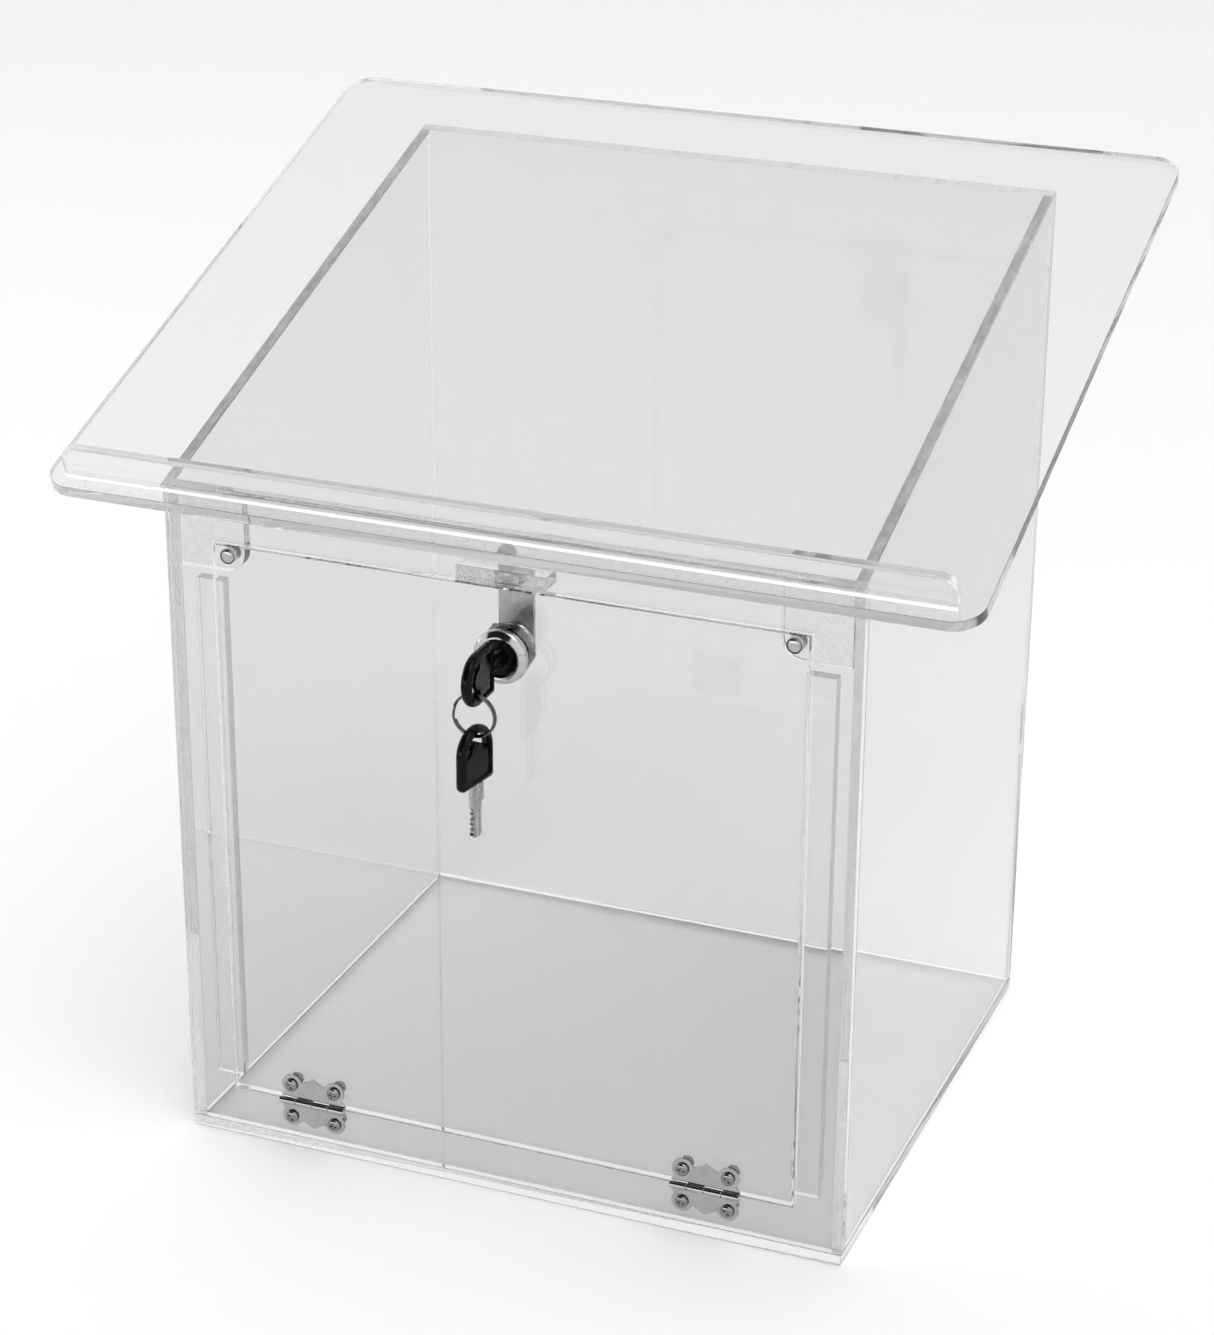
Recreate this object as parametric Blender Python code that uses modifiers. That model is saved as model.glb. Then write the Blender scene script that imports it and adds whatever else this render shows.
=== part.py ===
"""Clear acrylic donation box with a sloping top, a hinged front door and a cam lock.

Metres, +Z up. The origin is the centre of the underside of the base, the front is -Y and +X is to
the right of somebody who faces the door. Every piece of sheet, hinge, lock and key is its own object.
"""

from math import asin, cos, degrees, pi, radians, sin, tan

import bmesh
import bpy
from mathutils import Matrix, Vector

MM = 0.001

# Driving sizes
BOX_WIDTH = 305 * MM
BOX_DEPTH = 264 * MM
FRONT_HEIGHT = 305 * MM          # floor to the underside of the top, at the front face
SLOPE = radians(18.7)
SHEET = 5 * MM
GAP = 0.3 * MM                   # left wherever two pieces touch

TOP_HALF_WIDTH = 202 * MM
TOP_FRONT_OVERHANG = 16 * MM     # along the slope, ahead of the front face
TOP_LENGTH = 326 * MM            # along the slope
TOP_CORNER = 13 * MM
LEDGE_HALF_WIDTH = 192 * MM
LEDGE_HEIGHT = 15 * MM
LEDGE_SETBACK = 6 * MM           # from the front edge of the top
LEDGE_CORNER = 7 * MM

OPENING_HALF_WIDTH = 131 * MM
OPENING_SILL = 23.2 * MM
OPENING_HEAD = 283 * MM
DOOR_GAP = 0.8 * MM              # all round the door

STOP_INNER = 128.2 * MM          # the stops lap behind the door's side edges
STOP_OUTER = 141 * MM
STOP_BOTTOM = 28 * MM
STOP_TOP = 265 * MM
GUSSET_SIZE = 29.6 * MM
GUSSET_BOTTOM = 269.7 * MM
GUSSET_CORNER = 9 * MM
KEEPER_SIZE = (40 * MM, 10.5 * MM, 5.6 * MM)
KEEPER_X = -2 * MM
MAGNET_RADIUS = 3 * MM
MAGNET_X = 124 * MM
MAGNET_Z = 277.6 * MM

HINGE_X = 92 * MM
HINGE_LENGTH = 31.5 * MM
HINGE_KNUCKLES = 4
KNUCKLE_RADIUS = 1.6 * MM
PIN_RADIUS = 0.75 * MM
PIN_CLEARANCE = 0.1 * MM
LEAF_THICKNESS = 0.9 * MM
LEAF_APEX = 12.3 * MM            # height of the point between the two lobes
LEAF_VALLEY = (5.2 * MM, 9.5 * MM)
LEAF_INSET = 0.4 * MM            # the leaf is a little shorter than the pin
LOBE_RADIUS = 4.8 * MM
LOBE_START = -42                 # degrees, from the waist above the knuckles
LOBE_END = 158                   # degrees, to the valley beside the point
SCREW_X = 10.3 * MM              # screws and lobes, from the middle of the hinge
SCREW_Z = 7.9 * MM               # and from its pin
SCREW_RADIUS = 1.45 * MM
SCREW_HOLE = 1.75 * MM
SCREW_HEAD_RADIUS = 3 * MM
SCREW_HEAD_HEIGHT = 1.7 * MM
SCREW_PROUD = 1.2 * MM           # beyond the nut
RECESS_DEPTH = 0.9 * MM          # the cross in the screw's head
RECESS_WIDTH = 0.7 * MM
RECESS_LENGTH = 3 * MM
NUT_FLATS = 5.5 * MM
NUT_THICKNESS = 2.4 * MM

LOCK_Z = 253.5 * MM
BEZEL_RADIUS = 11.7 * MM
BARREL_RADIUS = 9.3 * MM
BARREL_LENGTH = 15.8 * MM        # from the door's front face to the cam
PLUG_RADIUS = 6.7 * MM
PLUG_FACE = 3.2 * MM             # ahead of the door's front face
LIP_RADIUS = 8.3 * MM            # the bezel's mouth round the plug's wide front
LIP_SEAT = 1.2 * MM
LOCK_NUT_FLATS = 22 * MM
LOCK_NUT_THICKNESS = 4 * MM
CAM_HALF_WIDTH = 7.7 * MM
CAM_FINGER = 7.6 * MM            # width of the narrow end
CAM_REACH = 40 * MM              # lock axis to the tip
CAM_TAIL = 8 * MM                # lock axis to the square end
CAM_STEP = (29 * MM, 34 * MM)    # the S-curve to the narrow end
CAM_CORNER = 3 * MM
CAM_THICKNESS = 2 * MM
DRIVE_RADIUS = 4 * MM
DRIVE_FLATS = 3.2 * MM           # half the distance between the drive's two flats
STUD_RADIUS = 2.4 * MM
STUD_LENGTH = 3.2 * MM
CAM_NUT_FLATS = 8 * MM
CAM_NUT_THICKNESS = 2.2 * MM

BLADE_THICKNESS = 2 * MM
BLADE_TIP = 11.8 * MM            # behind the door's front face
BOW_SHOULDER = 11.8 * MM         # ahead of the door's front face
BOW_HALF_WIDTH = 11.3 * MM
BOW_ARCH = 14.7 * MM             # shoulder to the centre of the round end
BOW_THICKNESS = 4.8 * MM
BOW_ROUNDING = 1.4 * MM
COLLAR = 3.6 * MM                # the neck's step, ahead of the door's front face
NECK_CUT_SIDE = 3.5 * MM         # the neck's two sides, from the key's centre line
NECK_PLAIN_SIDE = 4.9 * MM
TANG_LENGTH = 7.5 * MM           # blade held inside the bow
TANG_HALF_HEIGHT = 2.5 * MM
BLADE_HALF_HEIGHT = 3.1 * MM
KEY_CUTS = (0.8 * MM, 1.7 * MM, 1.1 * MM, 2.0 * MM, 1.2 * MM)
SLOT_RADIUS = 6 * MM             # centre line of the bow's curved slot
SLOT_HALF_WIDTH = 2 * MM
SLOT_HALF_ANGLE = radians(80)
RING_RADIUS = 9 * MM
RING_WIRE = 0.55 * MM
RING_PITCH = 1.2 * MM            # between the two turns
RING_AHEAD = 2 * MM              # of the centre of the bow's round end
RING_DROP = 6 * MM               # its top, below the key's centre line
SPARE_LIFT = 0.6 * MM            # wire above the middle of the spare bow's slot
SPARE_TWIST = radians(-10)       # the spare key hangs turned a little to the front

# Worked out from the sizes above
FRONT = -BOX_DEPTH / 2
BACK = BOX_DEPTH / 2
WALL_BOTTOM = SHEET + GAP
INSIDE_FRONT = FRONT + SHEET + GAP
HINGE_Z = OPENING_SILL + DOOR_GAP / 2
HINGE_Y = FRONT - GAP - KNUCKLE_RADIUS
LEAF_Y = FRONT - GAP - LEAF_THICKNESS / 2
UP_SLOPE = Vector((0, cos(SLOPE), sin(SLOPE)))
OFF_SLOPE = Vector((0, -sin(SLOPE), cos(SLOPE)))
SLOPE_FOOT = Vector((0, FRONT, FRONT_HEIGHT))

STANDING = (pi / 2, 0, 0)        # outline's Y becomes up, and its normal points to the front
EDGE_ON = (pi / 2, 0, -pi / 2)   # outline's X points to the front, its Y up
HANGING = (0, -pi / 2, SPARE_TWIST)   # outline's X points up, its Y to the back


def clear_scene():
    for obj in list(bpy.data.objects):
        bpy.data.objects.remove(obj, do_unlink=True)


def collection(name):
    made = bpy.data.collections.new(name)
    bpy.context.scene.collection.children.link(made)
    return made


def material(name, colour, roughness, metallic=0.0, transmission=0.0):
    made = bpy.data.materials.new(name)
    made.use_nodes = True
    shader = made.node_tree.nodes["Principled BSDF"]
    shader.inputs["Base Color"].default_value = (*colour, 1)
    shader.inputs["Roughness"].default_value = roughness
    shader.inputs["Metallic"].default_value = metallic
    shader.inputs["Transmission Weight"].default_value = transmission
    shader.inputs["IOR"].default_value = 1.49
    return made


def add(name, mesh, look, location=(0, 0, 0), rotation=(0, 0, 0), parent=None):
    """One object from a mesh. Its place is given in the world, whatever its parent."""
    obj = bpy.data.objects.new(name, mesh)
    obj.location = location
    obj.rotation_euler = rotation
    if look:
        mesh.materials.append(look)
    PARTS.objects.link(obj)
    if parent:
        bpy.context.view_layer.update()
        obj.parent = parent
        obj.matrix_parent_inverse = parent.matrix_world.inverted()
    return obj


def hide_as_cutter(obj):
    obj.hide_render = True
    obj.display_type = "WIRE"
    PARTS.objects.unlink(obj)
    CUTTERS.objects.link(obj)
    return obj


def smooth(obj, angle=35):
    obj.data.shade_smooth()
    obj.data.set_sharp_from_angle(angle=radians(angle))
    return obj


def box_mesh(name, size):
    bm = bmesh.new()
    bmesh.ops.create_cube(bm, size=1)
    bmesh.ops.scale(bm, vec=size, verts=bm.verts)
    mesh = bpy.data.meshes.new(name)
    bm.to_mesh(mesh)
    bm.free()
    return mesh


def block(name, low, high, look, parent=None):
    """A rectangular piece between two corners."""
    low, high = Vector(low), Vector(high)
    return add(name, box_mesh(name, high - low), look, (low + high) / 2, parent=parent)


def rod_mesh(name, radius, length, sides=24):
    bm = bmesh.new()
    bmesh.ops.create_cone(bm, cap_ends=True, segments=sides, radius1=radius, radius2=radius, depth=length)
    mesh = bpy.data.meshes.new(name)
    bm.to_mesh(mesh)
    bm.free()
    return mesh


def rod(name, radius, length, look, location, rotation=STANDING, sides=24, parent=None):
    obj = add(name, rod_mesh(name, radius, length, sides), look, location, rotation, parent)
    return smooth(obj)


def baked(obj):
    """The object's modifiers made real, so that later ones act on the finished mesh."""
    bpy.context.view_layer.update()
    shape = obj.evaluated_get(bpy.context.evaluated_depsgraph_get())
    obj.data = bpy.data.meshes.new_from_object(shape)
    obj.modifiers.clear()
    return obj


def turned(name, profile, look, location, rotation=STANDING, steps=40, closed=False, parent=None):
    """A turned piece from (radius, height) points down its outer side, closed round a bore if asked."""
    mesh = bpy.data.meshes.new(name)
    edges = [(i, i + 1) for i in range(len(profile) - 1)]
    if closed:
        edges.append((len(profile) - 1, 0))
    mesh.from_pydata([(radius, 0, height) for radius, height in profile], edges, [])
    obj = add(name, mesh, look, location, rotation, parent)
    screw = obj.modifiers.new("turn", "SCREW")
    screw.steps = steps
    screw.render_steps = steps
    screw.use_merge_vertices = True
    screw.merge_threshold = 0.00001
    return smooth(baked(obj))


def arc(centre, radius, start, end, steps):
    """Points along an arc, angles in degrees."""
    points = []
    for i in range(steps + 1):
        angle = radians(start + (end - start) * i / steps)
        points.append((centre[0] + radius * cos(angle), centre[1] + radius * sin(angle)))
    return points


def circle(centre, radius, steps=20):
    return arc(centre, radius, 0, 360 * (steps - 1) / steps, steps - 1)


def flat(name, outlines, thickness, look, location, rotation=STANDING, parent=None):
    """A flat piece: the first outline is its edge and the others are holes. Centred on its thickness."""
    curve = bpy.data.curves.new(name, "CURVE")
    curve.dimensions = "2D"
    curve.fill_mode = "BOTH"
    curve.extrude = thickness / 2
    for outline in outlines:
        spline = curve.splines.new("POLY")
        spline.points.add(len(outline) - 1)
        for point, (x, y) in zip(spline.points, outline):
            point.co = (x, y, 0, 1)
        spline.use_cyclic_u = True
    drawn = bpy.data.objects.new(name + "_outline", curve)
    PARTS.objects.link(drawn)
    bpy.context.view_layer.update()
    mesh = bpy.data.meshes.new_from_object(drawn.evaluated_get(bpy.context.evaluated_depsgraph_get()))
    bpy.data.objects.remove(drawn, do_unlink=True)
    mesh.name = name
    bm = bmesh.new()
    bm.from_mesh(mesh)
    bmesh.ops.remove_doubles(bm, verts=bm.verts, dist=0.000005)
    bmesh.ops.recalc_face_normals(bm, faces=bm.faces)
    bm.to_mesh(mesh)
    bm.free()
    mesh.materials.clear()
    return add(name, mesh, look, location, rotation, parent)


def cut(obj, *cutters):
    for cutter in cutters:
        step = obj.modifiers.new("cut_" + cutter.name, "BOOLEAN")
        step.operation = "DIFFERENCE"
        step.object = cutter
    return obj


def join(obj, *pieces):
    for piece in pieces:
        step = obj.modifiers.new("join_" + piece.name, "BOOLEAN")
        step.operation = "UNION"
        step.object = piece
    return obj


def round_edges(obj, width, segments=2, angle=40):
    step = obj.modifiers.new("rounded", "BEVEL")
    step.width = width
    step.segments = segments
    step.limit_method = "ANGLE"
    step.angle_limit = radians(angle)
    return obj


def drill(name, radius, x, z):
    """A cutter for a hole from front to back through the front sheets."""
    return hide_as_cutter(rod(name, radius, 40 * MM, None, (x, FRONT, z), sides=20))


def underside(y):
    """Height of the top's underside above a line across the box."""
    return FRONT_HEIGHT + (y - FRONT) * tan(SLOPE)


def wall(name, low, high, look):
    """An upright sheet whose top edge is bevelled to lie under the sloping top."""
    obj = block(name, (*low, WALL_BOTTOM), (*high, FRONT_HEIGHT), look)
    for vertex in obj.data.vertices:
        place = obj.location + vertex.co
        if vertex.co.z > 0:
            vertex.co.z = underside(place.y) - GAP - obj.location.z
    return obj


def on_slope(along, off):
    """A point on the middle line of the top: so far up the slope, and so far off its underside."""
    return SLOPE_FOOT + UP_SLOPE * along + OFF_SLOPE * off


def outline(*corners, steps=6):
    """A closed outline from (x, y, radius) corners, each rounded to its radius."""
    points = []
    for i, (x, y, radius) in enumerate(corners):
        corner = Vector((x, y))
        if not radius:
            points.append((x, y))
            continue
        before = (Vector(corners[i - 1][:2]) - corner).normalized()
        after = (Vector(corners[(i + 1) % len(corners)][:2]) - corner).normalized()
        half = before.angle(after) / 2
        centre = corner + (before + after).normalized() * radius / sin(half)
        first = corner + before * radius / tan(half) - centre
        turn = first.angle_signed(corner + after * radius / tan(half) - centre)
        for step in range(steps + 1):
            spoke = first.copy()
            spoke.rotate(Matrix.Rotation(-turn * step / steps, 2))
            points.append(tuple(centre + spoke))
    return points


clear_scene()
PARTS = collection("donation_box")
CUTTERS = collection("cutters")

ACRYLIC = material("clear_acrylic", (0.96, 0.97, 0.97), 0.03, transmission=1.0)
STEEL = material("nickel_plated_steel", (0.62, 0.61, 0.59), 0.25, metallic=1.0)
SCREW_STEEL = material("bright_screw_steel", (0.70, 0.70, 0.70), 0.2, metallic=1.0)
CHROME = material("chrome", (0.78, 0.78, 0.78), 0.08, metallic=1.0)
CAM_STEEL = material("pressed_cam_steel", (0.45, 0.45, 0.45), 0.35, metallic=1.0)
BLACK = material("black_plastic", (0.015, 0.015, 0.015), 0.3)
NUT_ZINC = material("nut_zinc", (0.35, 0.35, 0.35), 0.3, metallic=1.0)
MAGNET = material("magnet_nickel", (0.55, 0.55, 0.55), 0.15, metallic=1.0)


def build_case():
    """The base, four walls and sloping top, with the pieces bonded to them."""
    half = BOX_WIDTH / 2
    block("base_plate", (-half, FRONT, 0), (half, BACK, SHEET), ACRYLIC)
    wall("back_panel", (-half, BACK - SHEET), (half, BACK), ACRYLIC)
    for side, name in ((-1, "left_side_panel"), (1, "right_side_panel")):
        near, far = sorted((side * half, side * (half - SHEET)))
        wall(name, (near, INSIDE_FRONT), (far, -INSIDE_FRONT), ACRYLIC)

    opening = block(
        "opening_cutter",
        (-OPENING_HALF_WIDTH, FRONT - SHEET, OPENING_SILL),
        (OPENING_HALF_WIDTH, FRONT + 2 * SHEET, OPENING_HEAD),
        None,
    )
    frame = wall("front_frame", (-half, FRONT), (half, FRONT + SHEET), ACRYLIC)
    cut(frame, hide_as_cutter(opening))
    for middle in (-HINGE_X, HINGE_X):
        for offset in (-SCREW_X, SCREW_X):
            cut(frame, drill("frame_screw_hole", SCREW_HOLE, middle + offset, HINGE_Z - SCREW_Z))

    top_back = TOP_LENGTH - TOP_FRONT_OVERHANG
    top = outline(
        (-TOP_HALF_WIDTH, -TOP_FRONT_OVERHANG, TOP_CORNER),
        (TOP_HALF_WIDTH, -TOP_FRONT_OVERHANG, TOP_CORNER),
        (TOP_HALF_WIDTH, top_back, TOP_CORNER),
        (-TOP_HALF_WIDTH, top_back, TOP_CORNER),
    )
    flat("top_panel", [top], SHEET, ACRYLIC, on_slope(0, SHEET / 2), (SLOPE, 0, 0))

    ledge = outline(
        (-LEDGE_HALF_WIDTH, 0, 0),
        (LEDGE_HALF_WIDTH, 0, 0),
        (LEDGE_HALF_WIDTH, LEDGE_HEIGHT, LEDGE_CORNER),
        (-LEDGE_HALF_WIDTH, LEDGE_HEIGHT, LEDGE_CORNER),
    )
    ledge_place = on_slope(LEDGE_SETBACK - TOP_FRONT_OVERHANG + SHEET / 2, SHEET + GAP)
    flat("paper_ledge", [ledge], SHEET, ACRYLIC, ledge_place, (SLOPE + pi / 2, 0, 0))


def build_door_seat():
    """What the closed door meets: stops down its sides, gussets with magnets, and the cam's keeper."""
    stop_back = INSIDE_FRONT + SHEET
    gusset_edge = BOX_WIDTH / 2 - SHEET - GAP
    for side, word in ((-1, "left"), (1, "right")):
        near, far = sorted((side * STOP_INNER, side * STOP_OUTER))
        block(f"door_stop_{word}", (near, INSIDE_FRONT, STOP_BOTTOM), (far, stop_back, STOP_TOP), ACRYLIC)

        inner, outer = side * (gusset_edge - GUSSET_SIZE), side * gusset_edge
        edge = outline(
            (outer, GUSSET_BOTTOM, 0),
            (outer, GUSSET_BOTTOM + GUSSET_SIZE, 0),
            (inner, GUSSET_BOTTOM + GUSSET_SIZE, 0),
            (inner, GUSSET_BOTTOM, GUSSET_CORNER),
        )
        hole = circle((side * MAGNET_X, MAGNET_Z), MAGNET_RADIUS + GAP)
        middle = INSIDE_FRONT + SHEET / 2
        flat(f"corner_gusset_{word}", [edge, hole], SHEET, ACRYLIC, (0, middle, 0))
        rod(f"frame_magnet_{word}", MAGNET_RADIUS, SHEET, MAGNET, (side * MAGNET_X, middle, MAGNET_Z))

    width, depth, height = KEEPER_SIZE
    block(
        "cam_keeper",
        (KEEPER_X - width / 2, INSIDE_FRONT, OPENING_HEAD),
        (KEEPER_X + width / 2, INSIDE_FRONT + depth, OPENING_HEAD + height),
        ACRYLIC,
    )


def leaf_outline():
    """Upper half of the butterfly: two lobes, a point between them, and a straight edge by the knuckles."""
    lower = KNUCKLE_RADIUS + GAP
    half = HINGE_LENGTH / 2 - LEAF_INSET
    valley_x, valley_z = LEAF_VALLEY
    points = [(-half, lower), (half, lower)]
    points += arc((SCREW_X, SCREW_Z), LOBE_RADIUS, LOBE_START, LOBE_END, 14)
    points += [(valley_x, valley_z), (0, LEAF_APEX), (-valley_x, valley_z)]
    points += arc((-SCREW_X, SCREW_Z), LOBE_RADIUS, 180 - LOBE_END, 180 - LOBE_START, 14)
    return points


def build_leaf(name, middle, upward, parent=None):
    """One leaf with its own knuckles: the upper leaf has the 2nd and 4th, the lower leaf the 1st and 3rd."""
    flip = 0 if upward else pi
    along = (0, pi / 2, 0)
    holes = [circle((side * SCREW_X, SCREW_Z), SCREW_HOLE, 16) for side in (-1, 1)]
    place = (middle, LEAF_Y, HINGE_Z)
    leaf = flat(name, [leaf_outline(), *holes], LEAF_THICKNESS, STEEL, place, (pi / 2, flip, 0), parent)
    pitch = HINGE_LENGTH / HINGE_KNUCKLES
    length = pitch - GAP
    reach = KNUCKLE_RADIUS + 2 * GAP
    foot, head = (HINGE_Z, HINGE_Z + reach) if upward else (HINGE_Z - reach, HINGE_Z)
    for index in range(1 if upward else 0, HINGE_KNUCKLES, 2):
        x = middle - HINGE_LENGTH / 2 + pitch * (index + 0.5)
        tube = rod(f"{name}_knuckle_{index}", KNUCKLE_RADIUS, length, None, (x, HINGE_Y, HINGE_Z), along, 20)
        neck = block(
            f"{name}_neck_{index}",
            (x - length / 2, LEAF_Y - LEAF_THICKNESS / 2, foot),
            (x + length / 2, LEAF_Y + LEAF_THICKNESS / 2, head),
            None,
        )
        join(leaf, hide_as_cutter(tube), hide_as_cutter(neck))
    pin_place = (middle, HINGE_Y, HINGE_Z)
    bore = rod(f"{name}_bore", PIN_RADIUS + PIN_CLEARANCE, 2 * HINGE_LENGTH, None, pin_place, along, 20)
    return cut(leaf, hide_as_cutter(bore))


def build_screw(name, x, z, parent=None):
    """A button-head machine screw with a cross recess, pointing to the back."""
    head_seat = FRONT - 2 * GAP - LEAF_THICKNESS
    tip = head_seat - (INSIDE_FRONT + NUT_THICKNESS + SCREW_PROUD)
    profile = [(0, SCREW_HEAD_HEIGHT)]
    for part in (0.92, 0.7, 0.35):
        profile.append((SCREW_HEAD_RADIUS * (1 - part**2) ** 0.5, SCREW_HEAD_HEIGHT * part))
    profile += [(SCREW_HEAD_RADIUS, 0), (SCREW_RADIUS, 0), (SCREW_RADIUS, tip), (0, tip)]
    screw = turned(name, profile, SCREW_STEEL, (x, head_seat, z), steps=16, parent=parent)
    crown = (x, head_seat - SCREW_HEAD_HEIGHT, z)
    for word, width, height in (("a", RECESS_LENGTH, RECESS_WIDTH), ("b", RECESS_WIDTH, RECESS_LENGTH)):
        slot_name = f"{name}_slot_{word}"
        slot = add(slot_name, box_mesh(slot_name, (width, 2 * RECESS_DEPTH, height)), None, crown)
        cut(screw, hide_as_cutter(slot))
    return screw


def build_nut(name, place, flats, thickness, bore, look, parent=None, sides=16):
    """A hexagon nut whose axis runs from front to back."""
    corner = flats / 2 / cos(pi / 6)
    edge = [(corner * cos(k * pi / 3), corner * sin(k * pi / 3)) for k in range(6)]
    return flat(name, [edge, circle((0, 0), bore, sides)], thickness, look, place, parent=parent)


def build_hinge(word, middle, door):
    build_leaf(f"hinge_{word}_frame_leaf", middle, False)
    build_leaf(f"hinge_{word}_door_leaf", middle, True, door)
    rod(f"hinge_{word}_pin", PIN_RADIUS, HINGE_LENGTH, STEEL, (middle, HINGE_Y, HINGE_Z), (0, pi / 2, 0), 16)
    nut_y = INSIDE_FRONT + NUT_THICKNESS / 2
    for offset, corner in ((-SCREW_X, "a"), (SCREW_X, "b")):
        x = middle + offset
        for side, z, parent in (("frame", HINGE_Z - SCREW_Z, None), ("door", HINGE_Z + SCREW_Z, door)):
            build_screw(f"{side}_screw_{word}_{corner}", x, z, parent)
            nut_name = f"{side}_nut_{word}_{corner}"
            build_nut(nut_name, (x, nut_y, z), NUT_FLATS, NUT_THICKNESS, SCREW_HOLE, SCREW_STEEL, parent)


def build_door(door):
    """The door sheet and its two magnets, hinged along its lower edge."""
    panel = block(
        "door_panel",
        (-OPENING_HALF_WIDTH + DOOR_GAP, FRONT, OPENING_SILL + DOOR_GAP),
        (OPENING_HALF_WIDTH - DOOR_GAP, FRONT + SHEET, OPENING_HEAD - DOOR_GAP),
        ACRYLIC,
        door,
    )
    lock_hole = rod("lock_hole", BARREL_RADIUS + GAP, 40 * MM, None, (0, FRONT, LOCK_Z), sides=40)
    cut(panel, hide_as_cutter(lock_hole))
    for side, word in ((-1, "left"), (1, "right")):
        cut(panel, drill(f"magnet_hole_{word}", MAGNET_RADIUS + GAP, side * MAGNET_X, MAGNET_Z))
        for offset in (-SCREW_X, SCREW_X):
            cut(panel, drill("door_screw_hole", SCREW_HOLE, side * HINGE_X + offset, HINGE_Z + SCREW_Z))
        dome = [(0, 0.5 * MM), (0.5 * MAGNET_RADIUS, 0.35 * MM), (0.85 * MAGNET_RADIUS, 0)]
        dome += [(MAGNET_RADIUS, -0.4 * MM), (MAGNET_RADIUS, GAP - SHEET), (0, GAP - SHEET)]
        place = (side * MAGNET_X, FRONT, MAGNET_Z)
        turned(f"door_magnet_{word}", dome, MAGNET, place, steps=24, parent=door)


def build_lock(door, plug_axis):
    """The lock's fixed body and nut, and its turning plug with the cam on its end."""
    place = (0, FRONT, LOCK_Z)
    bezel = [(LIP_RADIUS + 0.3 * MM, 4.2 * MM), (LIP_RADIUS + 1.2 * MM, 4.5 * MM)]
    bezel += [(LIP_RADIUS + 2.2 * MM, 4 * MM), (BEZEL_RADIUS - 0.3 * MM, 2.8 * MM)]
    bezel += [(BEZEL_RADIUS, 1.6 * MM), (BEZEL_RADIUS, GAP)]
    barrel = [(BARREL_RADIUS, GAP), (BARREL_RADIUS, -BARREL_LENGTH)]
    bore = [(PLUG_RADIUS + GAP, -BARREL_LENGTH), (PLUG_RADIUS + GAP, LIP_SEAT)]
    bore += [(LIP_RADIUS, LIP_SEAT), (LIP_RADIUS, 3.8 * MM)]
    turned("lock_body", bezel + barrel + bore, CHROME, place, steps=48, closed=True, parent=door)
    nut_place = (0, INSIDE_FRONT + LOCK_NUT_THICKNESS / 2, LOCK_Z)
    nut_bore = BARREL_RADIUS + GAP
    build_nut("lock_nut", nut_place, LOCK_NUT_FLATS, LOCK_NUT_THICKNESS, nut_bore, NUT_ZINC, door, 40)

    drive_start = -BARREL_LENGTH - GAP
    stud_start = drive_start - CAM_THICKNESS - GAP
    stud_end = stud_start - STUD_LENGTH
    rim = LIP_RADIUS - GAP
    profile = [(0, PLUG_FACE), (rim - 1 * MM, PLUG_FACE), (rim, PLUG_FACE - 0.4 * MM), (rim, LIP_SEAT + GAP)]
    profile += [(PLUG_RADIUS, LIP_SEAT + GAP), (PLUG_RADIUS, drive_start), (DRIVE_RADIUS, drive_start)]
    profile += [(DRIVE_RADIUS, stud_start), (STUD_RADIUS, stud_start), (STUD_RADIUS, stud_end), (0, stud_end)]
    plug = turned("lock_plug", profile, BLACK, place, steps=40, parent=plug_axis)
    keyway = block(
        "keyway",
        (-BLADE_THICKNESS / 2 - GAP, FRONT - 5 * MM, LOCK_Z - BLADE_HALF_HEIGHT - GAP),
        (BLADE_THICKNESS / 2 + GAP, FRONT + BLADE_TIP + 2 * GAP, LOCK_Z + BLADE_HALF_HEIGHT + GAP),
        None,
    )
    cut(plug, hide_as_cutter(keyway))
    for side in (-1, 1):
        near, far = sorted((side * DRIVE_FLATS, side * 2 * DRIVE_FLATS))
        drive_flat = block(
            f"drive_flat_{side}",
            (near, FRONT - drive_start, LOCK_Z - 5 * MM),
            (far, FRONT - stud_start, LOCK_Z + 5 * MM),
            None,
        )
        cut(plug, hide_as_cutter(drive_flat))

    finger_side = CAM_FINGER - CAM_HALF_WIDTH
    tip_radius = CAM_FINGER / 2 - GAP
    edge = outline(
        (-CAM_HALF_WIDTH, -CAM_TAIL, CAM_CORNER),
        (CAM_HALF_WIDTH, -CAM_TAIL, CAM_CORNER),
        (CAM_HALF_WIDTH, CAM_STEP[0], CAM_CORNER),
        (finger_side, CAM_STEP[1], CAM_CORNER),
        (finger_side, CAM_REACH, tip_radius),
        (-CAM_HALF_WIDTH, CAM_REACH, tip_radius),
    )
    flats = degrees(asin((DRIVE_FLATS + GAP) / (DRIVE_RADIUS + GAP)))
    hole = arc((0, 0), DRIVE_RADIUS + GAP, 90 - flats, 90 + flats, 5)
    hole += arc((0, 0), DRIVE_RADIUS + GAP, 270 - flats, 270 + flats, 5)
    cam_middle = FRONT - drive_start + CAM_THICKNESS / 2
    flat("lock_cam", [edge, hole], CAM_THICKNESS, CAM_STEEL, (0, cam_middle, LOCK_Z), parent=plug_axis)
    nut_place = (0, FRONT - stud_start + GAP + CAM_NUT_THICKNESS / 2, LOCK_Z)
    nut_bore = STUD_RADIUS + GAP
    build_nut("cam_nut", nut_place, CAM_NUT_FLATS, CAM_NUT_THICKNESS, nut_bore, SCREW_STEEL, plug_axis)


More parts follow.
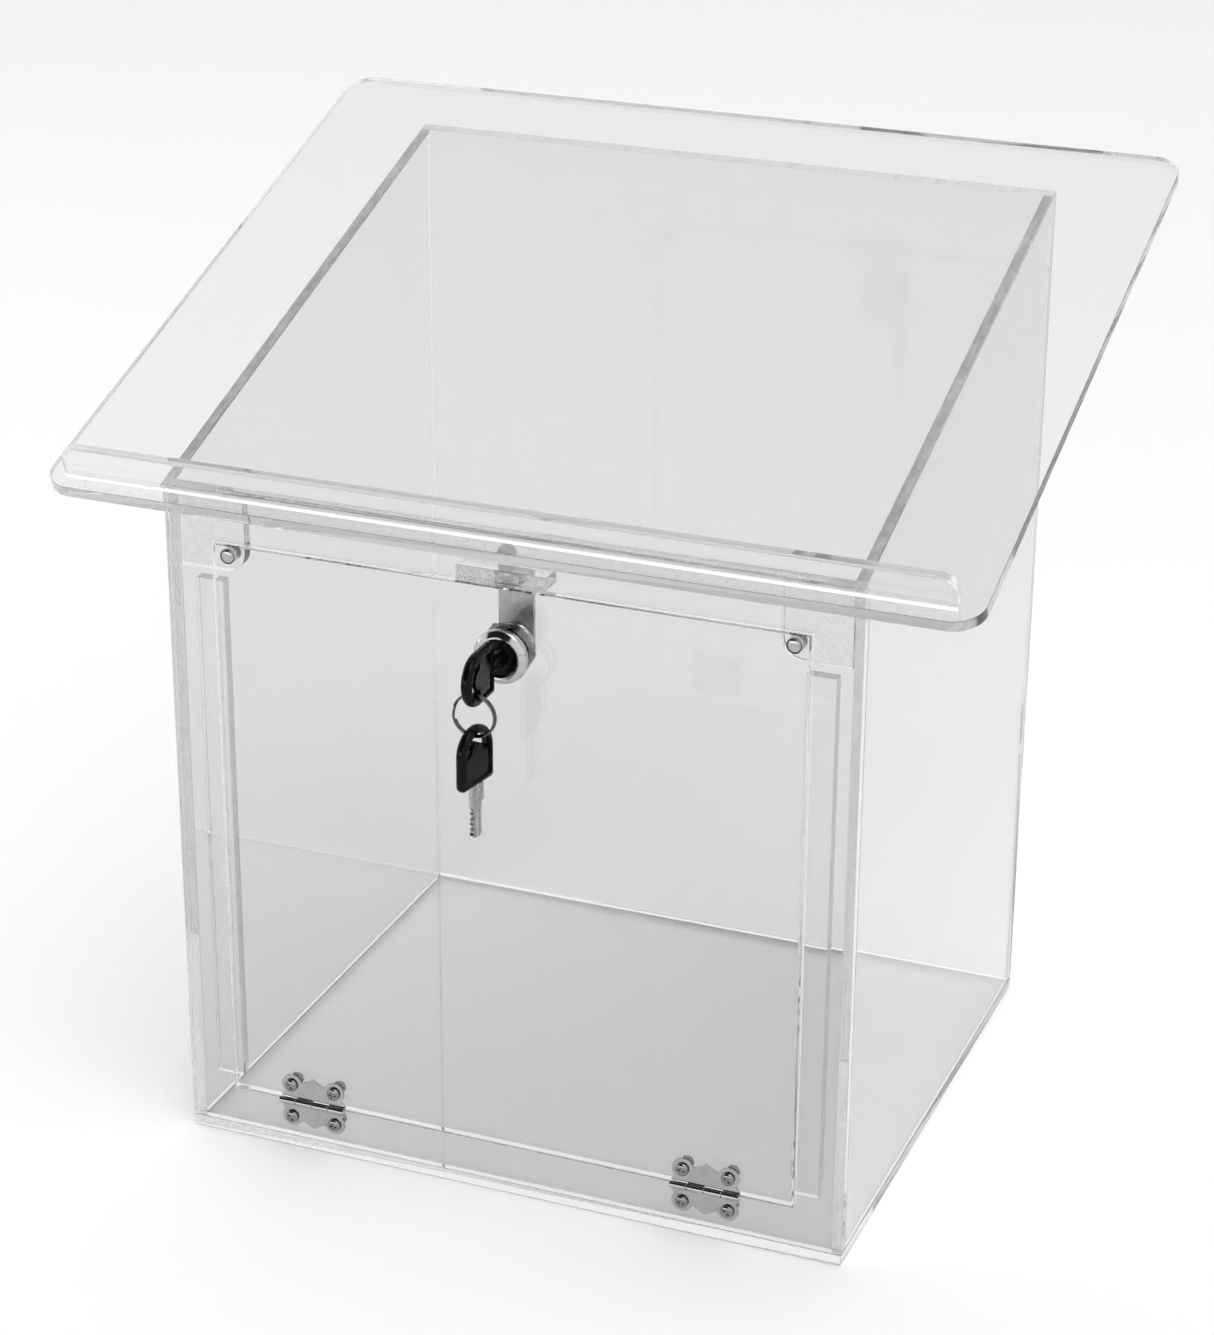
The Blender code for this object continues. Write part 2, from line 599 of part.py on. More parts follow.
def blade_outline():
    """The key's blade in its own frame: X runs from the tip to the bow, and the cuts are below."""
    neck = BOW_SHOULDER - GAP
    points = [(neck + TANG_LENGTH, TANG_HALF_HEIGHT), (neck, TANG_HALF_HEIGHT), (neck, NECK_PLAIN_SIDE)]
    points += [(COLLAR, NECK_PLAIN_SIDE), (COLLAR, BLADE_HALF_HEIGHT)]
    points += [(-BLADE_TIP + 1.4 * MM, BLADE_HALF_HEIGHT), (-BLADE_TIP, 1.2 * MM), (-BLADE_TIP, -1 * MM)]
    pitch = (COLLAR + BLADE_TIP - 4 * MM) / len(KEY_CUTS)
    for index, depth in enumerate(KEY_CUTS):
        x = -BLADE_TIP + 1.8 * MM + pitch * index
        points += [(x, -BLADE_HALF_HEIGHT), (x + 0.35 * pitch, depth - BLADE_HALF_HEIGHT)]
        points += [(x + 0.65 * pitch, depth - BLADE_HALF_HEIGHT)]
    points += [(COLLAR - 1.4 * MM, -BLADE_HALF_HEIGHT), (COLLAR, -BLADE_HALF_HEIGHT)]
    points += [(COLLAR, -NECK_CUT_SIDE), (neck, -NECK_CUT_SIDE)]
    points += [(neck, -TANG_HALF_HEIGHT), (neck + TANG_LENGTH, -TANG_HALF_HEIGHT)]
    return points


def bow_slot():
    """The bow's curved slot: a band with round ends about the centre of the bow's round end."""
    centre = (BOW_SHOULDER + BOW_ARCH, 0)
    end = degrees(SLOT_HALF_ANGLE)
    upper = (centre[0] + SLOT_RADIUS * cos(SLOT_HALF_ANGLE), SLOT_RADIUS * sin(SLOT_HALF_ANGLE))
    lower = (upper[0], -upper[1])
    points = arc(centre, SLOT_RADIUS + SLOT_HALF_WIDTH, -end, end, 10)
    points += arc(upper, SLOT_HALF_WIDTH, end, end + 180, 6)[1:-1]
    points += arc(centre, SLOT_RADIUS - SLOT_HALF_WIDTH, end, -end, 7)
    points += arc(lower, SLOT_HALF_WIDTH, 180 - end, 360 - end, 6)[1:-1]
    return points


def build_key(prefix, place, rotation, parent):
    """A steel blade with a moulded bow on it."""
    flat(f"{prefix}_blade", [blade_outline()], BLADE_THICKNESS, STEEL, place, rotation, parent)
    far = BOW_SHOULDER + BOW_ARCH + BOW_HALF_WIDTH
    edge = outline(
        (BOW_SHOULDER, -BOW_HALF_WIDTH, 2 * MM),
        (far, -BOW_HALF_WIDTH, BOW_HALF_WIDTH),
        (far, BOW_HALF_WIDTH, BOW_HALF_WIDTH),
        (BOW_SHOULDER, BOW_HALF_WIDTH, 2 * MM),
        steps=9,
    )
    bow = flat(f"{prefix}_bow", [edge, bow_slot()], BOW_THICKNESS, BLACK, place, rotation, parent)
    round_edges(bow, BOW_ROUNDING, 2, 60)
    pocket_size = (TANG_LENGTH + 2 * MM, 2 * (TANG_HALF_HEIGHT + GAP), BLADE_THICKNESS + 2 * GAP)
    pocket = add(f"{prefix}_pocket", box_mesh(f"{prefix}_pocket", pocket_size), None, place, rotation)
    pocket.data.transform(Matrix.Translation((BOW_SHOULDER + TANG_LENGTH / 2 - 1 * MM, 0, 0)))
    return cut(bow, hide_as_cutter(pocket))


def build_ring(place, parent):
    """A split ring: two flat turns of wire with one sideways step between them."""
    first, last, step_size = 20, 700, 10
    curve = bpy.data.curves.new("key_ring", "CURVE")
    curve.dimensions = "3D"
    curve.bevel_depth = RING_WIRE
    curve.bevel_resolution = 2
    curve.use_fill_caps = True
    count = (last - first) // step_size + 1
    spline = curve.splines.new("POLY")
    spline.points.add(count - 1)
    for index, point in enumerate(spline.points):
        turn = first + index * step_size
        across = min(max((turn - 350) / 20, 0), 1) - 0.5
        angle = radians(180 - turn)
        point.co = (RING_RADIUS * cos(angle), RING_PITCH * across, RING_RADIUS * sin(angle), 1)
    ring = bpy.data.objects.new("key_ring", curve)
    curve.materials.append(STEEL)
    ring.location = place
    PARTS.objects.link(ring)
    bpy.context.view_layer.update()
    ring.parent = parent
    ring.matrix_parent_inverse = parent.matrix_world.inverted()


def axis_empty(name, place, parent=None):
    """An empty on a joint's axis, which the pieces that move together hang from."""
    made = bpy.data.objects.new(name, None)
    made.empty_display_size = 20 * MM
    made.location = place
    PARTS.objects.link(made)
    bpy.context.view_layer.update()
    if parent:
        made.parent = parent
        made.matrix_parent_inverse = parent.matrix_world.inverted()
        bpy.context.view_layer.update()
    return made


ring_y = FRONT - BOW_SHOULDER - BOW_ARCH - RING_AHEAD
ring_top = LOCK_Z - RING_DROP
spare_hang = ring_top - 2 * RING_RADIUS
spare_slot = BOW_SHOULDER + BOW_ARCH + SLOT_RADIUS + SPARE_LIFT

door_axis = axis_empty("door_axis", (0, HINGE_Y, HINGE_Z))
plug_axis = axis_empty("plug_axis", (0, FRONT, LOCK_Z), door_axis)
key_axis = axis_empty("key_axis", (0, FRONT, LOCK_Z), plug_axis)
ring_axis = axis_empty("ring_axis", (0, ring_y, ring_top), key_axis)
spare_axis = axis_empty("spare_axis", (0, ring_y, spare_hang), ring_axis)

build_case()
build_door_seat()
build_door(door_axis)
for word, middle in (("left", -HINGE_X), ("right", HINGE_X)):
    build_hinge(word, middle, door_axis)
build_lock(door_axis, plug_axis)
build_key("key", (0, FRONT, LOCK_Z), EDGE_ON, key_axis)
build_ring((0, ring_y, ring_top - RING_RADIUS), ring_axis)
build_key("spare_key", (0, ring_y, spare_hang - spare_slot), HANGING, spare_axis)
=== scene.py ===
"""Looks of the clear acrylic donation box: polished sheet, cement seams, hinges, cam lock and keys.

Metres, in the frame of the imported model: +Z up, the front is -Y.
"""

from math import asin, cos, degrees, hypot, pi, radians, sin, tan

import bmesh
import bpy
from mathutils import Matrix, Vector, noise


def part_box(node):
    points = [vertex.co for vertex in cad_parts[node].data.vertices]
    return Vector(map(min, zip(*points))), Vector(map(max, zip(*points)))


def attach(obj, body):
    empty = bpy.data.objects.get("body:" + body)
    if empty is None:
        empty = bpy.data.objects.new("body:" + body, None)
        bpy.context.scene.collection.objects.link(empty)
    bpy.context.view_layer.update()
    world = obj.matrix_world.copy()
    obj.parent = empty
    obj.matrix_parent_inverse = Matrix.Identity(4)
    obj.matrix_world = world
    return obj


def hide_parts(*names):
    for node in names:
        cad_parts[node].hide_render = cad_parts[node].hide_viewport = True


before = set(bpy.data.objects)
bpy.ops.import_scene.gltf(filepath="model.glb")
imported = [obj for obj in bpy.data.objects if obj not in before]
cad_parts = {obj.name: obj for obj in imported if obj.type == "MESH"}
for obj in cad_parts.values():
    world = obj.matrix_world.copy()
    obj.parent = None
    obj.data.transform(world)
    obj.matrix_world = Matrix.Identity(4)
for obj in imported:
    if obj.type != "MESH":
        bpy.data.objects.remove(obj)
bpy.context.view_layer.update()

MM = 0.001
GAP = 0.3 * MM                    # the frame leaves this between touching pieces
SHEET = 5 * MM
WELD = 0.003 * MM                 # vertices this close are one
CAD_WELD = 0.004 * MM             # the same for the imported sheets
PROUD = 1 * MM                    # cutters stand this far out of what they cut

EDGE_ROUND = 0.3 * MM             # polished arris of every sheet
SAME_FACE = 0.95                  # a sheet's faces point this nearly along its thickness
SEAM_INSET = 0.4 * MM             # cement stays this far inside the sheets' edges
SEAM_WIDTH = SHEET - 2 * SEAM_INSET
FILM = 0.1 * MM                   # thickness of dried cement
FILM_STEP = 2 * MM                # grid of a film along its length
FILM_ROWS = 4
FILM_RIPPLES = 260                # per metre, along a film's wandering edge
FILM_WANDER = 0.35 * MM           # how far the edge wanders inwards
SAWN_WANDER = 0.2 * MM
GUSSET_WANDER = 1.5 * MM
FITTING_START = 1 * MM            # a gusset's cement starts this far outside the door
SLOPE_ABOVE = 0.1                 # metres: the side walls' lower corners are below this

LOBE_RADIUS = 4.8 * MM            # butterfly hinge
LOBE_START = -42                  # degrees
LOBE_END = 158
LOBE_STEPS = 34
LEAF_APEX = 12.3 * MM
LEAF_VALLEY = (5.2 * MM, 9.5 * MM)
LEAF_INSET = 0.4 * MM
LEAF_THICKNESS = 0.9 * MM
LEAF_ROUND = 0.2 * MM
LEAF_ROOT = 0.55                  # a leaf enters its knuckles at this share of their radius
KNUCKLES = 4
KNUCKLE_LIP = 0.12 * MM
PIN_PLAY = 0.1 * MM
PIN_DOME = 0.3 * MM

SCREW_RADIUS = 1.45 * MM          # screws
SCREW_HOLE = 1.75 * MM
SCREW_THREAD = 0.18 * MM          # depth of the cut
THREAD_PITCH = 0.5 * MM
THREAD_START = 0.2 * MM           # plain length above a cut thread
HEAD_HEIGHT = 1.7 * MM
HEAD_STEPS = 12
HEAD_RIM = 0.3 * MM
HEAD_CHAMFER = 0.1 * MM
CROSS_HALF_LENGTH = 1.75 * MM
CROSS_HALF_WIDTH = 0.38 * MM
CROSS_DEPTH = 0.8 * MM
PIT_MOUTH = 1.1 * MM              # radius of the pit in the cross's middle
PIT_FLOOR = 0.25 * MM
PIT_DEPTH = 1.2 * MM

NUT_FACE = 0.97                   # the flat ring of a nut's face, as a share of its half width
NUT_CHAMFER = (0.3, 0.12)         # its drop: shares of the corners' overhang and of the half width
NUT_SINK = 0.25 * MM              # countersink
NUT_CLEARANCE = 0.05 * MM         # the lock's nut runs free on the barrel

MAGNET_ROUND = 0.25 * MM
# Points of a magnet's dome: the share of its radius, and how many mm below the crown.
MAGNET_DOME = ((0, 0), (0.4, 0.06), (0.7, 0.2), (0.88, 0.42), (0.97, 0.7), (1, 1.0))

BARREL_RADIUS = 9.3 * MM          # cam lock
BARREL_PITCH = 1.0 * MM
BARREL_THREAD = 0.35 * MM
LIP_RADIUS = 8.3 * MM
LIP_PROFILE = ((0, 0.5), (0.25, 0.15), (0.7, 0), (1.2, 0.1))    # mm outwards, mm behind the front
LIP_PLAY = 0.1 * MM
LIP_DEPTH = 0.8 * MM
RIM_PROFILE = ((0.5, 1.6), (0.12, 2.0), (0, 2.5))               # mm inwards, mm behind the front
RIM_CHAMFER = 0.2 * MM
PLUG_SEAT = 1.2 * MM              # the plug's head rests this far in front of the door
PLUG_RADIUS = 6.7 * MM
PLUG_DISH = 0.5 * MM              # its face is sunk this deep
DISH_RADIUS = 4.6 * MM
DISH_RIM = 5.0 * MM
PLUG_ROUND = (0.5 * MM, 0.4 * MM)
KEYWAY_HALF_WIDTH = 1.3 * MM
KEYWAY_HALF_HEIGHT = 3.4 * MM
KEYWAY_DEPTH = 14.8 * MM          # from the door's front face
KEYWAY_FRONT = 6 * MM
DRIVE_RADIUS = 4 * MM
DRIVE_FLATS = 3.2 * MM
DRIVE_CUT = 5 * MM                # half width of the cutters that flatten the drive
STUD_RADIUS = 2.4 * MM
STUD_THREAD = 0.2 * MM
CAM_HALF_WIDTH = 7.7 * MM
CAM_TAIL = 8 * MM
CAM_STEP = (29 * MM, 34 * MM)     # the cam narrows to its finger between these
CAM_FINGER = 7.6 * MM
CAM_REACH = 40 * MM
CAM_CORNER = 3 * MM
CAM_ROUND = 0.3 * MM

BOW_SHOULDER = 11.8 * MM          # keys, from the door's front face
BOW_HALF_WIDTH = 11.3 * MM
BOW_CORNER = (2.4 * MM, 0.6 * MM)  # at the bow's edge, and at the least
BOW_ARCH = 14.7 * MM
BOW_FAR = BOW_SHOULDER + BOW_ARCH + BOW_HALF_WIDTH
BOW_THICKNESS = 4.8 * MM
BOW_ROUNDING = 2.2 * MM
BOW_RIM = 2.6 * MM                # raised rim round the recessed panel
BOW_RECESS = 0.8 * MM
PANEL_ROUND = 0.3 * MM
SLOT_RADIUS = 6 * MM
SLOT_HALF_WIDTH = 2 * MM
SLOT_HALF_ANGLE = 80              # degrees
BLADE_THICKNESS = 2 * MM
BLADE_ROUND = 0.12 * MM
BLADE_TIP = 11.8 * MM
BLADE_HALF_HEIGHT = 3.1 * MM
NOSE_SLOPE = 1.4 * MM             # the tip's long bevel, from the plain side
NOSE_TOP = 1.2 * MM
NOSE_FOOT = 1.0 * MM
COLLAR = 3.6 * MM
NECK_CUT_SIDE = 3.5 * MM
NECK_PLAIN_SIDE = 4.9 * MM
TANG_LENGTH = 7.5 * MM
TANG_HALF_HEIGHT = 2.5 * MM
KEY_CUTS = (0.8 * MM, 1.7 * MM, 1.1 * MM, 2.0 * MM, 1.2 * MM)
CUTS_START = 1.8 * MM             # from the tip
CUTS_MARGIN = 4 * MM              # length of blade without cuts
CUT_FLOOR = (0.35, 0.65)          # shares of the pitch
LAST_LAND = 1.4 * MM
GROOVE_OFFSET = 0.7 * MM          # milled groove on each side of the blade
GROOVE_HALF_WIDTH = 0.55 * MM
GROOVE_DEPTH = 0.45 * MM
GROOVE_RUNOUT = 3 * MM            # past the collar
RING_RADIUS = 9 * MM
RING_WIRE = 0.55 * MM
RING_PITCH = 1.2 * MM
RING_TURNS = (20, 700)            # degrees at the wire's two ends
RING_STEP = 4
RING_CROSSING = (350, 20)         # degrees where the wire steps sideways, and over how many
SPARE_TWIST = radians(-10)

CAMERA_PLACE = Vector((0.5019, -1.2820, 0.7877))
CAMERA_AIM = Vector((-0.3388, 0.8539, -0.3951))
CAMERA_ROLL = radians(0.355)
CAMERA_LENS = 90.8

DARK_OPENING = (-0.36, -0.6, 0.714)  # direction of the tent's opening
OPENING_EDGE = (0.76, 0.84)       # cosines: white outside the first, dark inside the second
SKY_HEIGHTS = (0.45, 0.85)
SKY_STRENGTHS = (0.95, 0.85)
BOUNCES = 96                      # light is piped a long way through the sheets' edges
FLOOR_RADIUS = 14
FLOOR_DROP = 0.2 * MM             # keeps the floor clear of the base's underside

STANDING = Matrix.Rotation(pi / 2, 4, "X")  # an outline's Y becomes up
EDGE_ON = Matrix.Rotation(-pi / 2, 4, "Z") @ STANDING       # its X points to the front
HANGING = Matrix.Rotation(SPARE_TWIST, 4, "Z") @ Matrix.Rotation(-pi / 2, 4, "Y")     # its X points up
ACROSS = Matrix.Rotation(pi / 2, 4, "Y")    # a turned piece lies along X


def middle(node):
    low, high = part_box(node)
    return (low + high) / 2


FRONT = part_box("front_frame")[0].y
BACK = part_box("back_panel")[1].y
HALF_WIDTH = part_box("back_panel")[1].x
LOCK = middle("lock_body")
LOCK_PLACE = Vector((LOCK.x, FRONT, LOCK.z))


# ---------------------------------------------------------------- materials


class Look:
    """A material under construction: its shader, and short calls for the nodes that feed it."""

    def __init__(self, name, colour, roughness, metallic=0.0, **settings):
        self.material = bpy.data.materials.new(name)
        self.material.use_nodes = True
        self.tree = self.material.node_tree
        self.shader = self.tree.nodes["Principled BSDF"]
        self.set("Base Color", (*colour, 1))
        self.set("Roughness", roughness)
        self.set("Metallic", metallic)
        for socket, value in settings.items():
            self.set(socket.replace("_", " "), value)
        self.coordinates = self.tree.nodes.new("ShaderNodeTexCoord").outputs["Object"]

    def set(self, socket, value):
        self.shader.inputs[socket].default_value = value

    def feed(self, socket, source):
        self.tree.links.new(source, self.shader.inputs[socket])

    def node(self, kind, **links):
        made = self.tree.nodes.new(kind)
        for socket, source in links.items():
            self.tree.links.new(source, made.inputs[socket])
        return made

    def stretched(self, scale):
        mapping = self.node("ShaderNodeMapping", Vector=self.coordinates)
        mapping.inputs["Scale"].default_value = scale
        return mapping.outputs[0]

    def noise(self, scale, detail=3.0, stretch=None):
        place = self.stretched(stretch) if stretch else self.coordinates
        made = self.node("ShaderNodeTexNoise", Vector=place)
        made.inputs["Scale"].default_value = scale
        made.inputs["Detail"].default_value = detail
        return made.outputs["Fac"]

    def cells(self, scale):
        made = self.node("ShaderNodeTexVoronoi", Vector=self.coordinates)
        made.inputs["Scale"].default_value = scale
        return made.outputs["Distance"]

    def between(self, source, low, high, start=0.3, end=0.7):
        """The source's stretch from start to end, spread over low to high."""
        made = self.node("ShaderNodeMapRange", Value=source)
        made.inputs["From Min"].default_value = start
        made.inputs["From Max"].default_value = end
        made.inputs["To Min"].default_value = low
        made.inputs["To Max"].default_value = high
        return made.outputs[0]

    def colours(self, source, *stops):
        ramp = self.node("ShaderNodeValToRGB", Fac=source)
        while len(ramp.color_ramp.elements) < len(stops):
            ramp.color_ramp.elements.new(0.5)
        for element, (position, colour) in zip(ramp.color_ramp.elements, stops):
            element.position = position
            element.color = (*colour, 1)
        return ramp.outputs[0]

    def shades(self, source, dark, light):
        """The base colour, from dark to light over the middle of the source's range."""
        self.feed("Base Color", self.colours(source, (0.3, dark), (0.7, light)))

    def add(self, first, second):
        made = self.tree.nodes.new("ShaderNodeMath")
        made.operation = "ADD"
        self.tree.links.new(first, made.inputs[0])
        self.tree.links.new(second, made.inputs[1])
        return made.outputs[0]

    def bump(self, source, strength, distance):
        made = self.node("ShaderNodeBump", Height=source)
        made.inputs["Strength"].default_value = strength
        made.inputs["Distance"].default_value = distance
        self.feed("Normal", made.outputs[0])
        return self


def grey(value):
    return (value, value, value)


def sheet_look(name, tint):
    """Cast acrylic's faces: nearly flawless, with faint waviness and a few wiping marks."""
    look = Look(name, (tint * 0.995, tint * 0.998, tint), 0.0, Transmission_Weight=1.0, IOR=1.49)
    marks = look.noise(30, 4, (1, 1, 6))
    look.feed("Roughness", look.between(marks, 0.0, 0.03, 0.55, 0.8))
    return look.bump(look.noise(9, 1), 0.015, 1 * MM).material


def edge_look(name, tint):
    """Sawn and polished edges: the same acrylic with faint ripples and a few duller blotches."""
    look = Look(name, (tint * 0.99, tint, tint * 1.005), 0.02, Transmission_Weight=1.0, IOR=1.49)
    blotches = look.noise(60, 2)
    look.feed("Roughness", look.between(blotches, 0.0, 0.04, 0.45, 0.75))
    return look.bump(look.noise(400, 2), 0.006, 0.2 * MM).material


def cement_look(name, tone, clear, dense, stretch=(1, 1, 1), thin=0.45):
    """Dried solvent cement between two sheets: clear patches, milky patches and small bubbles."""
    look = Look(name, grey(tone), 0.3, IOR=1.49)
    patches = look.noise(240, 4, stretch)
    bubbles = look.cells(900)
    rims = look.colours(bubbles, (0.0, grey(tone * 0.45)), (0.35, grey(tone)), (0.7, grey(tone * 1.15)))
    look.feed("Base Color", rims)
    look.feed("Roughness", look.between(patches, 0.15, 0.5))
    spread = look.add(patches, look.between(bubbles, 0.12, -0.1))
    look.feed("Alpha", look.between(spread, clear, dense, thin, thin + 0.3))
    return look.bump(bubbles, 0.5, 0.1 * MM).material


def saw_cut_look():
    """The sloping cuts under the top, left sawn: greyer and more even than the other seams."""
    look = Look("sawn_seam", grey(0.5), 0.45, IOR=1.49)
    strokes = look.noise(420, 3, (1, 0.12, 0.12))
    look.shades(strokes, grey(0.33), grey(0.62))
    look.feed("Alpha", look.between(look.noise(150, 4), 0.45, 0.8, 0.35, 0.65))
    return look.bump(strokes, 0.4, 0.1 * MM).material


def nickel_look():
    """Hinge leaves: dull nickel plate, faintly tumbled, a little darker in patches."""
    look = Look("hinge_nickel", grey(0.5), 0.2, 1.0)
    tumbled = look.noise(700, 5)
    look.shades(look.noise(160, 3), grey(0.38), grey(0.44))
    look.feed("Roughness", look.between(tumbled, 0.09, 0.16))
    return look.bump(tumbled, 0.02, 0.02 * MM).material


def bright_steel_look(name="bright_steel", low=0.1, high=0.2, colour=0.66):
    """Screws, pins, the ring and other plated pieces: polished metal with handling marks."""
    look = Look(name, grey(colour), low, 1.0)
    marks = look.noise(520, 5)
    look.shades(look.noise(240, 3), grey(colour * 0.85), grey(colour * 1.08))
    look.feed("Roughness", look.between(marks, low, high))
    return look.bump(marks, 0.02, 0.02 * MM).material


def blade_look():
    """Key blades: nickel silver milled along their length."""
    look = Look("key_nickel_silver", (0.4, 0.395, 0.385), 0.25, 1.0)
    milling = look.noise(900, 3, (0.06, 1, 1))
    look.shades(milling, (0.3, 0.298, 0.293), (0.5, 0.496, 0.486))
    look.feed("Roughness", look.between(milling, 0.18, 0.36))
    return look.bump(milling, 0.2, 0.05 * MM).material


def cam_look():
    """The pressed cam: zinc-plated steel, duller, with long rolling marks and soft stains."""
    look = Look("cam_zinc", grey(0.42), 0.35, 1.0)
    rolled = look.noise(600, 4, (1, 1, 0.08))
    stains = look.noise(130, 4)
    look.shades(stains, (0.33, 0.33, 0.34), (0.5, 0.5, 0.51))
    look.feed("Roughness", look.between(rolled, 0.26, 0.42))
    return look.bump(rolled, 0.15, 0.05 * MM).material


def plastic_look(name, colour, low, high, grain):
    """Moulded black plastic with a fine sparked grain and rubbed, shinier patches."""
    look = Look(name, grey(colour), low, IOR=1.2)
    rubbed = look.noise(90, 3)
    look.shades(rubbed, grey(colour * 0.7), grey(colour * 1.6))
    look.feed("Roughness", look.between(rubbed, low, high))
    return look.bump(look.noise(2600, 2), grain, 0.04 * MM).material


FACE = sheet_look("acrylic_face", 0.845)
CLEAR_FACE = sheet_look("fitting_face", 0.97)
EDGE = edge_look("acrylic_edge", 0.82)
BASE_EDGE = edge_look("base_edge", 0.7)
TOP_EDGE = edge_look("top_edge", 0.5)
CLEAR_EDGE = edge_look("fitting_edge", 0.6)
CEMENT = cement_look("dried_cement", 0.75, 0.03, 0.2)
CEMENT_DULL = cement_look("dull_cement", 0.6, 0.2, 0.45)
CEMENT_FAINT = cement_look("faint_cement", 0.8, 0.0, 0.12)
CEMENT_CRUMBLED = cement_look("crumbled_cement", 0.7, 0.0, 0.8, (0.15, 1.8, 1.8), 0.52)
CEMENT_KEEPER = cement_look("keeper_cement", 0.85, 0.2, 0.8)
SAWN = saw_cut_look()
NICKEL = nickel_look()
BRIGHT = bright_steel_look()
# The screws' base colour is set darker than steel: painted shade standing in for the dark surroundings the
# heads reflect
SCREW = bright_steel_look("screw_steel", 0.05, 0.12, 0.26)
NUT = bright_steel_look("nut_zinc", 0.1, 0.2, 0.22)
# The ring's base colour is set far darker than steel: painted shade standing in for the dark room the wire
# reflects; its highlights come from the lamps
RING = bright_steel_look("ring_steel", 0.05, 0.1, 0.09)
CHROME = bright_steel_look("lock_chrome", 0.07, 0.14, 0.48)
MAGNET = bright_steel_look("magnet_nickel", 0.15, 0.3, 0.42)
# The frame magnets' plating darkened nearly to black: painted shade for the magnets behind the door, which
# are the same plating as the door's magnets
MAGNET_SHADED = bright_steel_look("magnet_painted_shade", 0.1, 0.25, 0.03)
BLADE = blade_look()
CAM = cam_look()
BOW_PLASTIC = plastic_look("bow_plastic", 0.002, 0.06, 0.14, 0.03)
PLUG_PLASTIC = plastic_look("plug_black", 0.002, 0.14, 0.26, 0.05)


# ---------------------------------------------------------------- shaping tools


def shown(name, mesh, looks, body, slot, *nodes, matrix=None):
    """A finished piece: its place, materials, body and the CAD nodes it stands for. The slot argument is
    not used.
    """
    obj = bpy.data.objects.new(name, mesh)
    bpy.context.scene.collection.objects.link(obj)
    if matrix is not None:
        obj.matrix_world = matrix
    mesh.materials.clear()
    for look in looks:
        mesh.materials.append(look)
    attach(obj, body)
    if nodes:
        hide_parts(*nodes)
    return obj


def working(mesh):
    obj = bpy.data.objects.new("working", mesh)
    bpy.context.scene.collection.objects.link(obj)
    return obj


def applied(obj):
    """The mesh that an object's modifiers make. The object is removed."""
    bpy.context.view_layer.update()
    mesh = bpy.data.meshes.new_from_object(obj.evaluated_get(bpy.context.evaluated_depsgraph_get()))
    bpy.data.objects.remove(obj, do_unlink=True)
    return mesh


def combined(mesh, others, operation="DIFFERENCE"):
    """One mesh cut by, joined to or kept within others, all in one frame."""
    obj = working(mesh)
    tools = [working(other) for other in others]
    for tool in tools:
        step = obj.modifiers.new("step", "BOOLEAN")
        step.operation = operation
        step.object = tool
    made = applied(obj)
    for tool in tools:
        bpy.data.objects.remove(tool, do_unlink=True)
    return made


def softened(mesh, width, segments=2, angle=35):
    """Bevelled edges with smooth shading that keeps the flats flat."""
    mesh.shade_smooth()
    mesh.set_sharp_from_angle(angle=pi)
    obj = working(mesh)
    bevel = obj.modifiers.new("arris", "BEVEL")
    bevel.width = width
    bevel.segments = segments
    bevel.limit_method = "ANGLE"
    bevel.angle_limit = radians(angle)
    bevel.harden_normals = True
    bevel.use_clamp_overlap = True
    return applied(obj)


def smooth(mesh, angle=32):
    """Smooth shading across shallow edges, with the broad faces left flat."""
    mesh.shade_smooth()
    mesh.set_sharp_from_angle(angle=radians(angle))
    obj = working(mesh)
    flats = obj.modifiers.new("flats", "WEIGHTED_NORMAL")
    flats.keep_sharp = True
    return applied(obj)


def cuboid(low, high):
    low, high = Vector(low), Vector(high)
    bm = bmesh.new()
    bmesh.ops.create_cube(bm, size=1)
    bmesh.ops.scale(bm, vec=high - low, verts=bm.verts)
    bmesh.ops.translate(bm, vec=(low + high) / 2, verts=bm.verts)
    mesh = bpy.data.meshes.new("cuboid")
    bm.to_mesh(mesh)
    bm.free()
    return mesh


def turned(profile, steps=96, closed=False):
    """A mesh turned about local Z from (radius, height) points down its outer side."""
    mesh = bpy.data.meshes.new("turned")
    edges = [(i, i + 1) for i in range(len(profile) - 1)]
    if closed:
        edges.append((len(profile) - 1, 0))
    mesh.from_pydata([(radius, 0, height) for radius, height in profile], edges, [])
    obj = working(mesh)
    screw = obj.modifiers.new("turn", "SCREW")
    screw.steps = steps
    screw.render_steps = steps
    screw.use_merge_vertices = True
    screw.merge_threshold = WELD
    return smooth(applied(obj))


def arc(centre, radius, start, end, steps):
    """Points along an arc, angles in degrees."""
    points = []
    for i in range(steps + 1):
        angle = radians(start + (end - start) * i / steps)
        points.append((centre[0] + radius * cos(angle), centre[1] + radius * sin(angle)))
    return points


def circle(radius, steps=48, centre=(0, 0)):
    return arc(centre, radius, 0, 360 * (steps - 1) / steps, steps - 1)


def hexagon(flats):
    corner = flats / 2 / cos(pi / 6)
    return [(corner * cos(k * pi / 3), corner * sin(k * pi / 3)) for k in range(6)]


def outline(*corners, steps=12):
    """A closed outline from (x, y, radius) corners, each rounded to its radius."""
    points = []
    for i, (x, y, radius) in enumerate(corners):
        corner = Vector((x, y))
        if not radius:
            points.append((x, y))
            continue
        before = (Vector(corners[i - 1][:2]) - corner).normalized()
        after = (Vector(corners[(i + 1) % len(corners)][:2]) - corner).normalized()
        half = before.angle(after) / 2
        centre = corner + (before + after).normalized() * radius / sin(half)
        first = corner + before * radius / tan(half) - centre
        turn = first.angle_signed(corner + after * radius / tan(half) - centre)
        for step in range(steps + 1):
            spoke = first.copy()
            spoke.rotate(Matrix.Rotation(-turn * step / steps, 2))
            points.append(tuple(centre + spoke))
    return points


